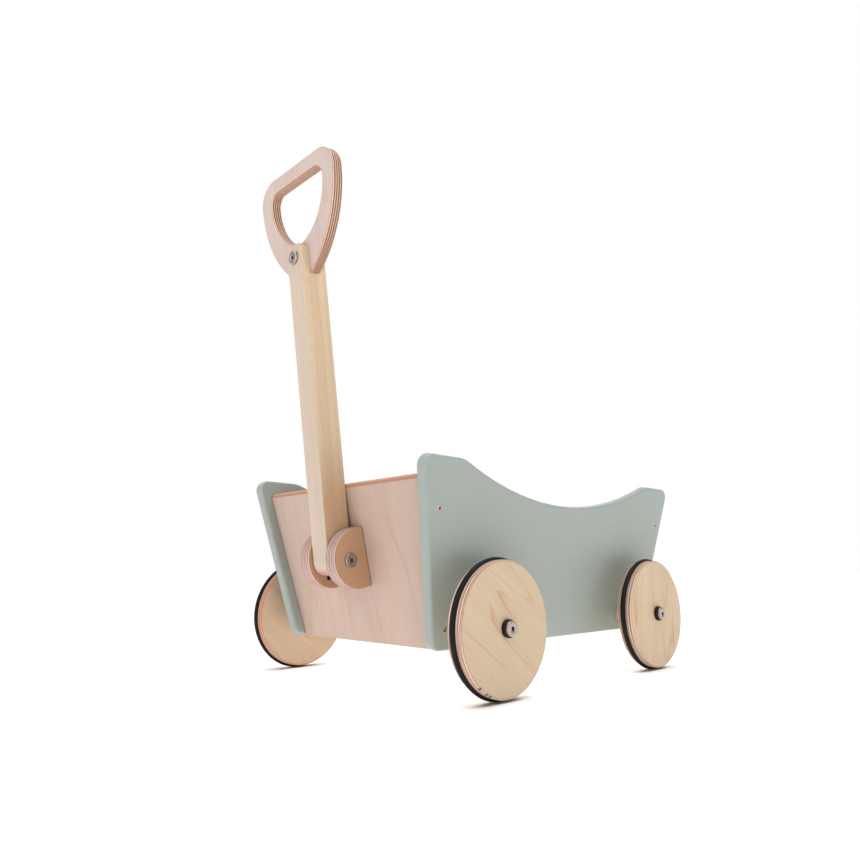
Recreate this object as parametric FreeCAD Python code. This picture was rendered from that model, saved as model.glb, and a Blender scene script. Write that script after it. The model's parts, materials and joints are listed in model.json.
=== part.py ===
import FreeCAD, Part
import math
import os

# Push-along wagon for a toddler: a hopper-shaped box of birch plywood on four plywood wheels, with a
# bar handle hinged between two D-shaped ears on the rear panel and a plywood loop grip at its top.
# Millimetres, +X forward (the way it is pushed), +Y left, +Z up, origin on the floor under the middle
# of the wagon with its handle leaning at rest.

Vec = FreeCAD.Vector
UP = Vec(0, 0, 1)
ORIGIN = Vec(0, 0, 0)
SIDES = {"right": -1, "left": 1}

# Wheels and their running gear
WHEEL_RADIUS = 60.8
WHEEL_THICKNESS = 17.0
WHEEL_EDGE_ROUNDING = 2.0
WHEEL_OUTER_FACE_Y = 168.0
TYRE_SECTION_RADIUS = 3.3
TYRE_RING_RADIUS = 59.9
TYRE_FROM_WIDE_SIDE = 10.1
AXLE_Z = TYRE_RING_RADIUS + TYRE_SECTION_RADIUS
AXLE_X = {"rear": -116.5, "front": 161.5}
BUSH_RADIUS = 6.0
BUSH_BORE_RADIUS = 4.08
BUSH_FLANGE_RADIUS = 8.2
BUSH_FLANGE_THICKNESS = 3.8
BUSH_TO_BOLT_HEAD = 0.3
WHEEL_TO_AXLE = 0.6
AXLE_RADIUS = 10.0
INSERT_RADIUS = 5.0
INSERT_LENGTH = 18.0

# Bolts with a flat chamfered head and a hexagon socket
BOLT_HEAD_RADIUS = 7.2
BOLT_HEAD_THICKNESS = 2.7
BOLT_HEAD_CHAMFER = 0.7
BOLT_SOCKET_FLATS = 4.0
BOLT_SOCKET_DEPTH = 2.2
BOLT_SHOULDER_RADIUS = 4.0
BOLT_THREAD_RADIUS = 3.0
WHEEL_BOLT_THREAD_LENGTH = 16.0

# Hopper: two painted sides and two plain ends, all leaning outwards
PANEL_THICKNESS = 12.0
SIDE_LEAN = 10.0
END_LEAN = 13.0
HOPPER_MIDDLE_X = 28.0
FOOT_Z = 41.5
SIDE_FOOT_HALF_LENGTH = 186.0
SIDE_FOOT_OUTER_Y = 115.2
SIDE_RISE = 178.3
SIDE_CORNER_RADIUS = 11.0
SIDE_EDGE_ROUNDING = 3.0
SCOOP_DEPTH = 35.5
SCOOP_RADIUS = 430.0
SHOULDER_RADIUS = 30.0
END_RECESS = {"rear": 12.0, "front": 9.0}
END_RISE = {"rear": 164.6, "front": 161.0}
END_FOOT_GAP = 1.0
END_EDGE_ROUNDING = 5.5
FLOOR_THICKNESS = 9.0

# Countersunk wood screws
SCREW_HEAD_RADIUS = 3.5
SCREW_HEAD_RIM = 0.3
SCREW_SHANK_RADIUS = 2.0
SCREW_SOCKET_FLATS = 3.0
SCREW_SOCKET_DEPTH = 1.3
SCREW_TIP_LENGTH = 4.0
SCREW_TIP_RADIUS = 0.5
SIDE_SCREW_LENGTH = 45.0
SIDE_SCREW_RISES = (19.0, 128.0)
FLOOR_SCREW_LENGTH = 25.0
FLOOR_SCREW_Y = 62.0
EAR_SCREW_LENGTH = 38.0
EAR_SCREW_OFFSET = 18.0

# Ears on the rear panel, which carry the handle's pivot
EAR_THICKNESS = 15.0
EAR_GAP = 28.4
EAR_RADIUS = 30.5
EAR_STRAIGHT = 10.5
EAR_RISE = 90.0
EAR_ROUNDING = 1.2
PIN_HOLE_RADIUS = 2.8
PIN_HOLE_DEPTH = 9.0
PIN_HOLE_OUT = 19.0
PIN_HOLE_BELOW_PIVOT = 17.8
PIVOT_OUT = 21.5
PIVOT_BORE_RADIUS = 4.08
PIVOT_TUBE_SHORT_OF_HEAD = 2.2
PIVOT_TUBE_THREAD_DEPTH = 45.0
PIVOT_BOLT_LENGTH = 38.0
WASHER_RADIUS = 9.0
WASHER_THICKNESS = 0.8

# Handle, drawn upright from its pivot and then leaned back
HANDLE_LEAN = 8.0
BAR_WIDTH = 26.0
BAR_DEPTH = 30.0
BAR_TOP = 331.0
BAR_TOP_CORNER = 6.0
BAR_EDGE_ROUNDING = 1.5
GRIP_THICKNESS = 12.0
GRIP_FOOT = 298.7
GRIP_BOLT_HEIGHT = 317.0
GRIP_TUBE_LENGTH = 27.0
GRIP_TUBE_THREAD_DEPTH = 25.0
GRIP_BOLT_LENGTH = 22.0
GRIP_TOP = 421.7
GRIP_HALF_WIDTH = 67.0
GRIP_FOOT_HALF_WIDTH = 15.0
GRIP_CORNER_RADIUS = 25.0
GRIP_ROUNDING = 1.6
GRIP_HOLE_TOP = 404.9
GRIP_HOLE_HALF_WIDTH = 47.0
GRIP_HOLE_CORNER_RADIUS = 12.0
GRIP_HOLE_SIDE_RADIUS = 61.0
GRIP_HOLE_FOOT_RADIUS = 25.0

WHEEL_INNER_FACE_Y = WHEEL_OUTER_FACE_Y - WHEEL_THICKNESS
AXLE_HALF_LENGTH = WHEEL_INNER_FACE_Y - WHEEL_TO_AXLE
BOLT_SEAT_Y = WHEEL_OUTER_FACE_Y + BUSH_FLANGE_THICKNESS + BUSH_TO_BOLT_HEAD
SIDE_LEAN_RAD = math.radians(SIDE_LEAN)
END_LEAN_RAD = math.radians(END_LEAN)
EAR_FACE_Y = EAR_GAP / 2 + EAR_THICKNESS
SCREW_CONE = SCREW_HEAD_RADIUS - SCREW_SHANK_RADIUS

# How nearly two directions, or two levels, have to agree to count as the same
SAME_DIRECTION = 1e-6
SAME_LEVEL = 0.01


def placed(shape, position, direction):
    """A copy of a shape drawn along +Z, turned to a direction and moved to a position."""
    copy = shape.copy()
    copy.Placement = FreeCAD.Placement(position, FreeCAD.Rotation(UP, direction))
    return copy


def turned_about_y(shape, degrees, position):
    """A copy turned about the Y axis through the origin, then moved."""
    copy = shape.copy()
    copy.rotate(ORIGIN, Vec(0, 1, 0), degrees)
    copy.translate(position)
    return copy


def mirrored_left(shape):
    """The left-hand twin of a right-hand shape."""
    return shape.mirror(ORIGIN, Vec(0, 1, 0))


def ring(outer_radius, inner_radius, length):
    """A tube along +Z from the origin."""
    return Part.makeCylinder(outer_radius, length).cut(Part.makeCylinder(inner_radius, length))


def hexagon(flats, depth):
    """A hexagonal prism along +Z, measured across its flats."""
    corner_radius = flats / math.sqrt(3)
    turns = [math.radians(60 * corner) for corner in range(7)]
    corners = [Vec(corner_radius * math.cos(turn), corner_radius * math.sin(turn), 0) for turn in turns]
    return Part.Face(Part.makePolygon(corners)).extrude(Vec(0, 0, depth))


def parallel(first, second):
    """Whether two unit vectors lie along the same line."""
    return abs(abs(first * second) - 1) < SAME_DIRECTION


def edges_along(shape, direction):
    """The straight edges that run along a direction."""
    straight = [edge for edge in shape.Edges if isinstance(edge.Curve, Part.Line)]
    return [edge for edge in straight if parallel(edge.tangentAt(edge.FirstParameter), direction)]


def flat_faces(shape, normal):
    """The flat faces that look along plus or minus a direction."""
    flat = [face for face in shape.Faces if isinstance(face.Surface, Part.Plane)]
    return [face for face in flat if parallel(face.normalAt(0, 0), normal)]


def face_outline_edges(shape, normal):
    """The outline edges of the flat faces that look along plus or minus a direction."""
    return [edge for face in flat_faces(shape, normal) for edge in face.OuterWire.Edges]


def bolt_head():
    """A flat round head under the XY plane, chamfered, with a hexagon socket in its outer face."""
    blank = Part.makeCylinder(BOLT_HEAD_RADIUS, BOLT_HEAD_THICKNESS, Vec(0, 0, -BOLT_HEAD_THICKNESS))
    rim = [edge for edge in blank.Edges if edge.BoundBox.ZMax < -BOLT_HEAD_THICKNESS + SAME_LEVEL]
    head = blank.makeChamfer(BOLT_HEAD_CHAMFER, rim)
    socket = hexagon(BOLT_SOCKET_FLATS, BOLT_SOCKET_DEPTH)
    socket.translate(Vec(0, 0, -BOLT_HEAD_THICKNESS))
    return head.cut(socket)


def bolt(shoulder_length, thread_length):
    """A bolt along +Z whose head seats on the XY plane, with a plain shoulder and then a thread."""
    body = bolt_head()
    if shoulder_length > 0:
        body = body.fuse(Part.makeCylinder(BOLT_SHOULDER_RADIUS, shoulder_length))
    thread = Part.makeCylinder(BOLT_THREAD_RADIUS, thread_length, Vec(0, 0, shoulder_length))
    return body.fuse(thread).removeSplitter()


def sleeve_nut(tube_length, bore_depth):
    """A sleeve nut along +Z: a bolt-like head on a plain tube that takes a bolt's thread at its far end."""
    body = bolt_head().fuse(Part.makeCylinder(BOLT_SHOULDER_RADIUS, tube_length))
    bore = Part.makeCylinder(BOLT_THREAD_RADIUS, bore_depth, Vec(0, 0, tube_length - bore_depth))
    return body.cut(bore)


def wood_screw(length):
    """A countersunk screw along +Z with its head flush with the XY plane."""
    head_rim = Part.makeCylinder(SCREW_HEAD_RADIUS, SCREW_HEAD_RIM)
    head_cone = Part.makeCone(SCREW_HEAD_RADIUS, SCREW_SHANK_RADIUS, SCREW_CONE, Vec(0, 0, SCREW_HEAD_RIM))
    shank = Part.makeCylinder(SCREW_SHANK_RADIUS, length - SCREW_TIP_LENGTH)
    tip_start = Vec(0, 0, length - SCREW_TIP_LENGTH)
    tip = Part.makeCone(SCREW_SHANK_RADIUS, SCREW_TIP_RADIUS, SCREW_TIP_LENGTH, tip_start)
    return head_rim.fuse([head_cone, shank, tip])


def with_socket(screw):
    """A wood screw with the hexagon socket sunk in its head."""
    return screw.cut(hexagon(SCREW_SOCKET_FLATS, SCREW_SOCKET_DEPTH))


# ---------------------------------------------------------------- hopper


def side_outline():
    """A side's outline in its own plane, about its middle: straight foot and ends, scooped top."""
    end_slope = math.tan(END_LEAN_RAD) * math.cos(SIDE_LEAN_RAD)
    top_half = SIDE_FOOT_HALF_LENGTH + SIDE_RISE * end_slope
    reach = SCOOP_RADIUS + SHOULDER_RADIUS
    shoulder_x = math.sqrt(reach**2 - (reach - SCOOP_DEPTH) ** 2)
    turn = math.asin(shoulder_x / reach)
    join_x = SCOOP_RADIUS * math.sin(turn)
    join_z = SIDE_RISE - SCOOP_DEPTH + SCOOP_RADIUS * (1 - math.cos(turn))
    bend_x = shoulder_x - SHOULDER_RADIUS * math.sin(turn / 2)
    bend_z = SIDE_RISE - SHOULDER_RADIUS * (1 - math.cos(turn / 2))
    foot = [Vec(-SIDE_FOOT_HALF_LENGTH, 0, 0), Vec(SIDE_FOOT_HALF_LENGTH, 0, 0)]
    corner = [Vec(-top_half, 0, SIDE_RISE), Vec(top_half, 0, SIDE_RISE)]
    shoulder = [Vec(-shoulder_x, 0, SIDE_RISE), Vec(shoulder_x, 0, SIDE_RISE)]
    bend = [Vec(-bend_x, 0, bend_z), Vec(bend_x, 0, bend_z)]
    join = [Vec(-join_x, 0, join_z), Vec(join_x, 0, join_z)]
    scoop_low = Vec(0, 0, SIDE_RISE - SCOOP_DEPTH)
    return Part.Wire(
        [
            Part.makeLine(foot[0], foot[1]),
            Part.makeLine(foot[1], corner[1]),
            Part.makeLine(corner[1], shoulder[1]),
            Part.Arc(shoulder[1], bend[1], join[1]).toShape(),
            Part.Arc(join[1], scoop_low, join[0]).toShape(),
            Part.Arc(join[0], bend[0], shoulder[0]).toShape(),
            Part.makeLine(shoulder[0], corner[0]),
            Part.makeLine(corner[0], foot[0]),
        ]
    )


def side_blank():
    """The right side as a rounded board in place, before its holes."""
    board = Part.Face(side_outline()).extrude(Vec(0, PANEL_THICKNESS, 0))
    across = Vec(0, 1, 0)
    ends_from = SIDE_FOOT_HALF_LENGTH - SAME_LEVEL
    corners = [edge for edge in edges_along(board, across) if abs(edge.CenterOfMass.x) > ends_from]
    board = board.makeFillet(SIDE_CORNER_RADIUS, corners)
    board = board.makeFillet(SIDE_EDGE_ROUNDING, face_outline_edges(board, across))
    board.rotate(ORIGIN, Vec(1, 0, 0), SIDE_LEAN)
    board.translate(Vec(HOPPER_MIDDLE_X, -SIDE_FOOT_OUTER_Y, FOOT_Z))
    return board


def inner_half_width(height):
    """Half the width between the two sides' inner faces at a height above the floor."""
    outer = SIDE_FOOT_OUTER_Y + (height - FOOT_Z) * math.tan(SIDE_LEAN_RAD)
    return outer - PANEL_THICKNESS / math.cos(SIDE_LEAN_RAD)


def space_between_sides():
    """The wedge of space between the two sides, long enough to trim any cross panel."""
    low = 0.0
    high = FOOT_Z + SIDE_RISE
    start = HOPPER_MIDDLE_X - 2 * SIDE_FOOT_HALF_LENGTH
    section = [
        Vec(start, -inner_half_width(low), low),
        Vec(start, inner_half_width(low), low),
        Vec(start, inner_half_width(high), high),
        Vec(start, -inner_half_width(high), high),
        Vec(start, -inner_half_width(low), low),
    ]
    return Part.Face(Part.makePolygon(section)).extrude(Vec(4 * SIDE_FOOT_HALF_LENGTH, 0, 0))


def end_foot(end):
    """Where an end panel's outer face would meet the level of the hopper's foot."""
    inset = SIDE_FOOT_HALF_LENGTH - END_RECESS[end]
    outward = -1 if end == "rear" else 1
    return Vec(HOPPER_MIDDLE_X + outward * inset, 0, FOOT_Z)


def end_face_x(end, height, depth):
    """X of the plane inside an end panel, at a depth from its outer face, at a height."""
    outward = -1 if end == "rear" else 1
    shift = (height - FOOT_Z) * math.tan(END_LEAN_RAD) - depth / math.cos(END_LEAN_RAD)
    return end_foot(end).x + outward * shift


def end_blank(end):
    """An end panel in place, trimmed to the leaning sides, with a full round along its top."""
    half = SIDE_FOOT_OUTER_Y + SIDE_RISE
    rise = END_RISE[end]
    slab = Part.makeBox(PANEL_THICKNESS, 2 * half, rise - END_FOOT_GAP, Vec(0, -half, END_FOOT_GAP))
    top = [edge for edge in edges_along(slab, Vec(0, 1, 0)) if edge.CenterOfMass.z > rise - SAME_LEVEL]
    slab = slab.makeFillet(END_EDGE_ROUNDING, top)
    slab.rotate(ORIGIN, Vec(0, 1, 0), -END_LEAN)
    if end == "front":
        slab = slab.mirror(ORIGIN, Vec(1, 0, 0))
    slab.translate(end_foot(end))
    return slab.common(space_between_sides())


def floor_blank():
    """The load floor, lying on the two axles and trimmed to all four leaning walls."""
    low = AXLE_Z + AXLE_RADIUS
    high = low + FLOOR_THICKNESS
    half = SIDE_FOOT_OUTER_Y + SIDE_RISE
    section = [
        Vec(end_face_x("rear", low, PANEL_THICKNESS), -half, low),
        Vec(end_face_x("front", low, PANEL_THICKNESS), -half, low),
        Vec(end_face_x("front", high, PANEL_THICKNESS), -half, high),
        Vec(end_face_x("rear", high, PANEL_THICKNESS), -half, high),
        Vec(end_face_x("rear", low, PANEL_THICKNESS), -half, low),
    ]
    slab = Part.Face(Part.makePolygon(section)).extrude(Vec(0, 2 * half, 0))
    return slab.common(space_between_sides())


def side_screw_places():
    """Start and direction of the right side's four screws, each aimed into the middle of an end panel."""
    inward = Vec(0, math.cos(SIDE_LEAN_RAD), math.sin(SIDE_LEAN_RAD))
    places = []
    for end in AXLE_X:
        for rise in SIDE_SCREW_RISES:
            height = FOOT_Z + rise
            bite_height = height + (SIDE_SCREW_LENGTH + PANEL_THICKNESS) / 2 * inward.z
            start_x = end_face_x(end, bite_height, PANEL_THICKNESS / 2)
            start_y = -SIDE_FOOT_OUTER_Y - rise * math.tan(SIDE_LEAN_RAD)
            places.append((Vec(start_x, start_y, height), inward))
    return places


def floor_screw_places():
    """Two screws down through the floor into each wooden axle."""
    top = AXLE_Z + AXLE_RADIUS + FLOOR_THICKNESS
    places = []
    for x in AXLE_X.values():
        for side in SIDES.values():
            places.append((Vec(x, side * FLOOR_SCREW_Y, top), Vec(0, 0, -1)))
    return places


def ear_screw_places():
    """Two screws through the rear panel from inside the hopper into each ear."""
    places = []
    for side in SIDES.values():
        for offset in (-EAR_SCREW_OFFSET, EAR_SCREW_OFFSET):
            y = side * (EAR_GAP + EAR_THICKNESS) / 2
            start = rear_panel_point(-PANEL_THICKNESS, y, EAR_RISE + offset)
            places.append((start, rear_panel_outward()))
    return places


def screw_solids(places, length, socketed):
    """One solid per place: the finished screws, or the plain shapes that cut their holes."""
    screw = with_socket(wood_screw(length)) if socketed else wood_screw(length)
    return [placed(screw, start, direction) for start, direction in places]


# ---------------------------------------------------------------- rear panel's ears and pivot


def rear_panel_outward():
    """Unit vector square to the rear panel's outer face."""
    return Vec(-math.cos(END_LEAN_RAD), 0, -math.sin(END_LEAN_RAD))


def rear_panel_point(out, y, rise):
    """A point at a distance out from the rear panel's outer face and a distance up its slope."""
    up_slope = Vec(-math.sin(END_LEAN_RAD), 0, math.cos(END_LEAN_RAD))
    return end_foot("rear") + rear_panel_outward() * out + up_slope * rise + Vec(0, y, 0)


def pivot_point(y):
    """A point on the handle's pivot axis."""
    return rear_panel_point(PIVOT_OUT, y, EAR_RISE)


def ear(side):
    """A D-shaped ear: flat against the rear panel, with a short straight and a half-round nose.

    A blind hole for a locking pin looks out of its inner face, below the pivot.
    """
    low_back = Vec(0, 0, -EAR_RADIUS)
    low_front = Vec(-EAR_STRAIGHT, 0, -EAR_RADIUS)
    nose = Vec(-EAR_STRAIGHT - EAR_RADIUS, 0, 0)
    high_front = Vec(-EAR_STRAIGHT, 0, EAR_RADIUS)
    high_back = Vec(0, 0, EAR_RADIUS)
    outline = Part.Wire(
        [
            Part.makeLine(low_back, low_front),
            Part.Arc(low_front, nose, high_front).toShape(),
            Part.makeLine(high_front, high_back),
            Part.makeLine(high_back, low_back),
        ]
    )
    blank = Part.Face(outline).extrude(Vec(0, EAR_THICKNESS, 0))
    eased = [edge for edge in face_outline_edges(blank, Vec(0, 1, 0)) if edge.BoundBox.XMin < -SAME_LEVEL]
    blank = blank.makeFillet(EAR_ROUNDING, eased)
    start_y = EAR_GAP / 2 if side > 0 else -EAR_FACE_Y
    blank = turned_about_y(blank, -END_LEAN, rear_panel_point(0, start_y, EAR_RISE))
    bore = Part.makeCylinder(BOLT_SHOULDER_RADIUS, 2 * EAR_FACE_Y, pivot_point(-EAR_FACE_Y), Vec(0, 1, 0))
    pin_mouth = rear_panel_point(PIN_HOLE_OUT, side * EAR_GAP / 2, EAR_RISE - PIN_HOLE_BELOW_PIVOT)
    pin_hole = placed(Part.makeCylinder(PIN_HOLE_RADIUS, PIN_HOLE_DEPTH), pin_mouth, Vec(0, side, 0))
    return blank.cut([bore, pin_hole])


def pivot_nut():
    """The pivot itself: a sleeve nut put in from the left that crosses both ears and the bar."""
    nut = sleeve_nut(2 * EAR_FACE_Y - PIVOT_TUBE_SHORT_OF_HEAD, PIVOT_TUBE_THREAD_DEPTH)
    return placed(nut, pivot_point(EAR_FACE_Y), Vec(0, -1, 0))


def pivot_bolt():
    """The bolt that closes the pivot's sleeve nut from the right."""
    return placed(bolt(0, PIVOT_BOLT_LENGTH), pivot_point(-EAR_FACE_Y), Vec(0, 1, 0))


def pivot_washers():
    """A thin friction washer on the pivot against each ear's inner face."""
    washers = []
    for side in SIDES.values():
        washer = ring(WASHER_RADIUS, BOLT_SHOULDER_RADIUS, WASHER_THICKNESS)
        washers.append(placed(washer, pivot_point(side * EAR_GAP / 2), Vec(0, -side, 0)))
    return Part.makeCompound(washers)


# ---------------------------------------------------------------- handle


def leaned(shape):
    """A shape drawn upright about the pivot, leaned back and set on the pivot."""
    return turned_about_y(shape, -HANDLE_LEAN, pivot_point(0))


def corner_middle(y, z, radius):
    """The middle of a rounded shoulder's arc, from its centre."""
    step = radius * math.sqrt(0.5)
    return Vec(0, y + math.copysign(step, y), z + step)


def grip_outer_wire():
    """The grip's outline: small flat foot, sides swelling outwards, rounded shoulders, flat top."""
    widest_z = GRIP_TOP - GRIP_CORNER_RADIUS
    run = GRIP_HALF_WIDTH - GRIP_FOOT_HALF_WIDTH
    side_radius = (run**2 + (widest_z - GRIP_FOOT) ** 2) / (2 * run)
    swing = math.asin((widest_z - GRIP_FOOT) / side_radius) / 2
    side_mid_y = GRIP_HALF_WIDTH - side_radius * (1 - math.cos(swing))
    side_mid_z = widest_z - side_radius * math.sin(swing)
    corner_y = GRIP_HALF_WIDTH - GRIP_CORNER_RADIUS

    def side_arcs(side):
        foot = Vec(0, side * GRIP_FOOT_HALF_WIDTH, GRIP_FOOT)
        widest = Vec(0, side * GRIP_HALF_WIDTH, widest_z)
        top = Vec(0, side * corner_y, GRIP_TOP)
        swell = Part.Arc(foot, Vec(0, side * side_mid_y, side_mid_z), widest).toShape()
        bend = corner_middle(side * corner_y, widest_z, GRIP_CORNER_RADIUS)
        corner = Part.Arc(widest, bend, top).toShape()
        return [swell, corner]

    foot_corners = [Vec(0, side * GRIP_FOOT_HALF_WIDTH, GRIP_FOOT) for side in (-1, 1)]
    foot_line = Part.makeLine(*foot_corners)
    top_line = Part.makeLine(Vec(0, -corner_y, GRIP_TOP), Vec(0, corner_y, GRIP_TOP))
    return Part.Wire(Part.__sortEdges__([foot_line, top_line] + side_arcs(-1) + side_arcs(1)))


def grip_hole_wire():
    """The hand hole: flat top with rounded corners, sides that sweep in to a round foot."""
    widest_z = GRIP_HOLE_TOP - GRIP_HOLE_CORNER_RADIUS
    sweep_y = GRIP_HOLE_HALF_WIDTH - GRIP_HOLE_SIDE_RADIUS
    radius_step = GRIP_HOLE_SIDE_RADIUS - GRIP_HOLE_FOOT_RADIUS
    foot_turn = math.acos(-sweep_y / radius_step)
    foot_centre_z = widest_z - radius_step * math.sin(foot_turn)
    foot_y = GRIP_HOLE_FOOT_RADIUS * math.cos(foot_turn)
    foot_z = foot_centre_z - GRIP_HOLE_FOOT_RADIUS * math.sin(foot_turn)
    side_mid_y = sweep_y + GRIP_HOLE_SIDE_RADIUS * math.cos(foot_turn / 2)
    side_mid_z = widest_z - GRIP_HOLE_SIDE_RADIUS * math.sin(foot_turn / 2)
    corner_y = GRIP_HOLE_HALF_WIDTH - GRIP_HOLE_CORNER_RADIUS

    def side_arcs(side):
        foot = Vec(0, side * foot_y, foot_z)
        widest = Vec(0, side * GRIP_HOLE_HALF_WIDTH, widest_z)
        top = Vec(0, side * corner_y, GRIP_HOLE_TOP)
        sweep = Part.Arc(foot, Vec(0, side * side_mid_y, side_mid_z), widest).toShape()
        bend = corner_middle(side * corner_y, widest_z, GRIP_HOLE_CORNER_RADIUS)
        corner = Part.Arc(widest, bend, top).toShape()
        return [sweep, corner]

    foot_low = Vec(0, 0, foot_centre_z - GRIP_HOLE_FOOT_RADIUS)
    foot_arc = Part.Arc(Vec(0, -foot_y, foot_z), foot_low, Vec(0, foot_y, foot_z)).toShape()
    top_line = Part.makeLine(Vec(0, -corner_y, GRIP_HOLE_TOP), Vec(0, corner_y, GRIP_HOLE_TOP))
    return Part.Wire(Part.__sortEdges__([foot_arc, top_line] + side_arcs(-1) + side_arcs(1)))


def grip_blank():
    """The loop grip, upright: a board with a hand hole, all its edges eased."""
    half = GRIP_THICKNESS / 2
    board = Part.Face(grip_outer_wire()).extrude(Vec(GRIP_THICKNESS, 0, 0))
    hole = Part.Face(grip_hole_wire()).extrude(Vec(GRIP_THICKNESS, 0, 0))
    board = board.cut(hole)
    eased = [edge for face in flat_faces(board, Vec(1, 0, 0)) for edge in face.Edges]
    board = board.makeFillet(GRIP_ROUNDING, eased)
    board.translate(Vec(-half, 0, 0))
    return board


def bar_blank():
    """The handle's bar, upright: half-round foot about the pivot and a slot for the grip in its top."""
    half = BAR_DEPTH / 2
    outline = Part.Wire(
        [
            Part.Arc(Vec(-half, 0, 0), Vec(0, 0, -half), Vec(half, 0, 0)).toShape(),
            Part.makeLine(Vec(half, 0, 0), Vec(half, 0, BAR_TOP)),
            Part.makeLine(Vec(half, 0, BAR_TOP), Vec(-half, 0, BAR_TOP)),
            Part.makeLine(Vec(-half, 0, BAR_TOP), Vec(-half, 0, 0)),
        ]
    )
    bar = Part.Face(outline).extrude(Vec(0, BAR_WIDTH, 0))
    bar.translate(Vec(0, -BAR_WIDTH / 2, 0))
    lengthwise = edges_along(bar, Vec(1, 0, 0))
    top_corners = [edge for edge in lengthwise if edge.CenterOfMass.z > BAR_TOP - SAME_LEVEL]
    bar = bar.makeFillet(BAR_TOP_CORNER, top_corners)
    bar = bar.makeFillet(BAR_EDGE_ROUNDING, face_outline_edges(bar, Vec(0, 1, 0)))
    slot_corner = Vec(-GRIP_THICKNESS / 2, -BAR_WIDTH, GRIP_FOOT)
    slot = Part.makeBox(GRIP_THICKNESS, 2 * BAR_WIDTH, BAR_TOP, slot_corner)
    bore = Part.makeCylinder(PIVOT_BORE_RADIUS, 2 * BAR_WIDTH, Vec(0, -BAR_WIDTH, 0), Vec(0, 1, 0))
    return bar.cut(slot).cut(bore)


def grip_tube_hole():
    """The hole through the fork and the grip for the grip's sleeve nut, upright."""
    start = Vec(-BAR_DEPTH, 0, GRIP_BOLT_HEIGHT)
    return Part.makeCylinder(BOLT_SHOULDER_RADIUS, 2 * BAR_DEPTH, start, Vec(1, 0, 0))


def grip_bolt():
    """The bolt in the fork's front face, upright."""
    return placed(bolt(0, GRIP_BOLT_LENGTH), Vec(-BAR_DEPTH / 2, 0, GRIP_BOLT_HEIGHT), Vec(1, 0, 0))


def grip_nut():
    """The sleeve nut in the fork's back face, upright."""
    nut = sleeve_nut(GRIP_TUBE_LENGTH, GRIP_TUBE_THREAD_DEPTH)
    return placed(nut, Vec(BAR_DEPTH / 2, 0, GRIP_BOLT_HEIGHT), Vec(-1, 0, 0))


# ---------------------------------------------------------------- wheels and axles


def axle(end):
    """A round wooden axle beam across the wagon."""
    start = Vec(AXLE_X[end], -AXLE_HALF_LENGTH, AXLE_Z)
    return Part.makeCylinder(AXLE_RADIUS, 2 * AXLE_HALF_LENGTH, start, Vec(0, 1, 0))


def axle_end_places():
    """The middle of each axle's two ends, with the direction back into the axle."""
    return [
        (Vec(x, side * AXLE_HALF_LENGTH, AXLE_Z), Vec(0, -side, 0))
        for x in AXLE_X.values()
        for side in SIDES.values()
    ]


def tyre_middle(side):
    """Height of the tyre's middle above its wheel's inner face.

    The four wheels are alike, each with its groove off the middle of the rim. The right wheels have
    their wide side outwards and the left ones have it inwards.
    """
    return TYRE_FROM_WIDE_SIDE if side > 0 else WHEEL_THICKNESS - TYRE_FROM_WIDE_SIDE


def wheel_disc(side):
    """A plywood wheel about +Z: disc with a central bore, rounded rims and a square groove for its tyre."""
    blank = Part.makeCylinder(WHEEL_RADIUS, WHEEL_THICKNESS)
    rims = [edge for edge in blank.Edges if isinstance(edge.Curve, Part.Circle)]
    blank = blank.makeFillet(WHEEL_EDGE_ROUNDING, rims)
    groove = ring(2 * WHEEL_RADIUS, TYRE_RING_RADIUS - TYRE_SECTION_RADIUS, 2 * TYRE_SECTION_RADIUS)
    groove.translate(Vec(0, 0, tyre_middle(side) - TYRE_SECTION_RADIUS))
    return blank.cut(groove).cut(Part.makeCylinder(BUSH_RADIUS, WHEEL_THICKNESS))


def tyre(side):
    """The rubber ring in the wheel's groove, about +Z."""
    return Part.makeTorus(TYRE_RING_RADIUS, TYRE_SECTION_RADIUS, Vec(0, 0, tyre_middle(side)))


def hub_bush():
    """The wheel's bearing about +Z: a tube through the wheel with a flange on its outer face."""
    tube = Part.makeCylinder(BUSH_RADIUS, WHEEL_THICKNESS)
    flange = Part.makeCylinder(BUSH_FLANGE_RADIUS, BUSH_FLANGE_THICKNESS, Vec(0, 0, WHEEL_THICKNESS))
    bore = Part.makeCylinder(BUSH_BORE_RADIUS, WHEEL_THICKNESS + BUSH_FLANGE_THICKNESS)
    return tube.fuse(flange).cut(bore)


def at_wheel(shape, end, side):
    """A shape drawn from a wheel's inner face outwards, set at one of the four wheels."""
    return placed(shape, Vec(AXLE_X[end], side * WHEEL_INNER_FACE_Y, AXLE_Z), Vec(0, side, 0))


def wheel_bolts():
    """The four shoulder bolts that the wheels turn on."""
    one = bolt(BOLT_SEAT_Y - AXLE_HALF_LENGTH, WHEEL_BOLT_THREAD_LENGTH)
    seated = []
    for point, into in axle_end_places():
        seat = Vec(point.x, math.copysign(BOLT_SEAT_Y, point.y), point.z)
        seated.append(placed(one, seat, into))
    return Part.makeCompound(seated)


def axle_inserts():
    """The four threaded inserts sunk in the axles' ends."""
    one = ring(INSERT_RADIUS, BOLT_THREAD_RADIUS, INSERT_LENGTH)
    return Part.makeCompound([placed(one, point, into) for point, into in axle_end_places()])


# ---------------------------------------------------------------- assembly


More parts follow.
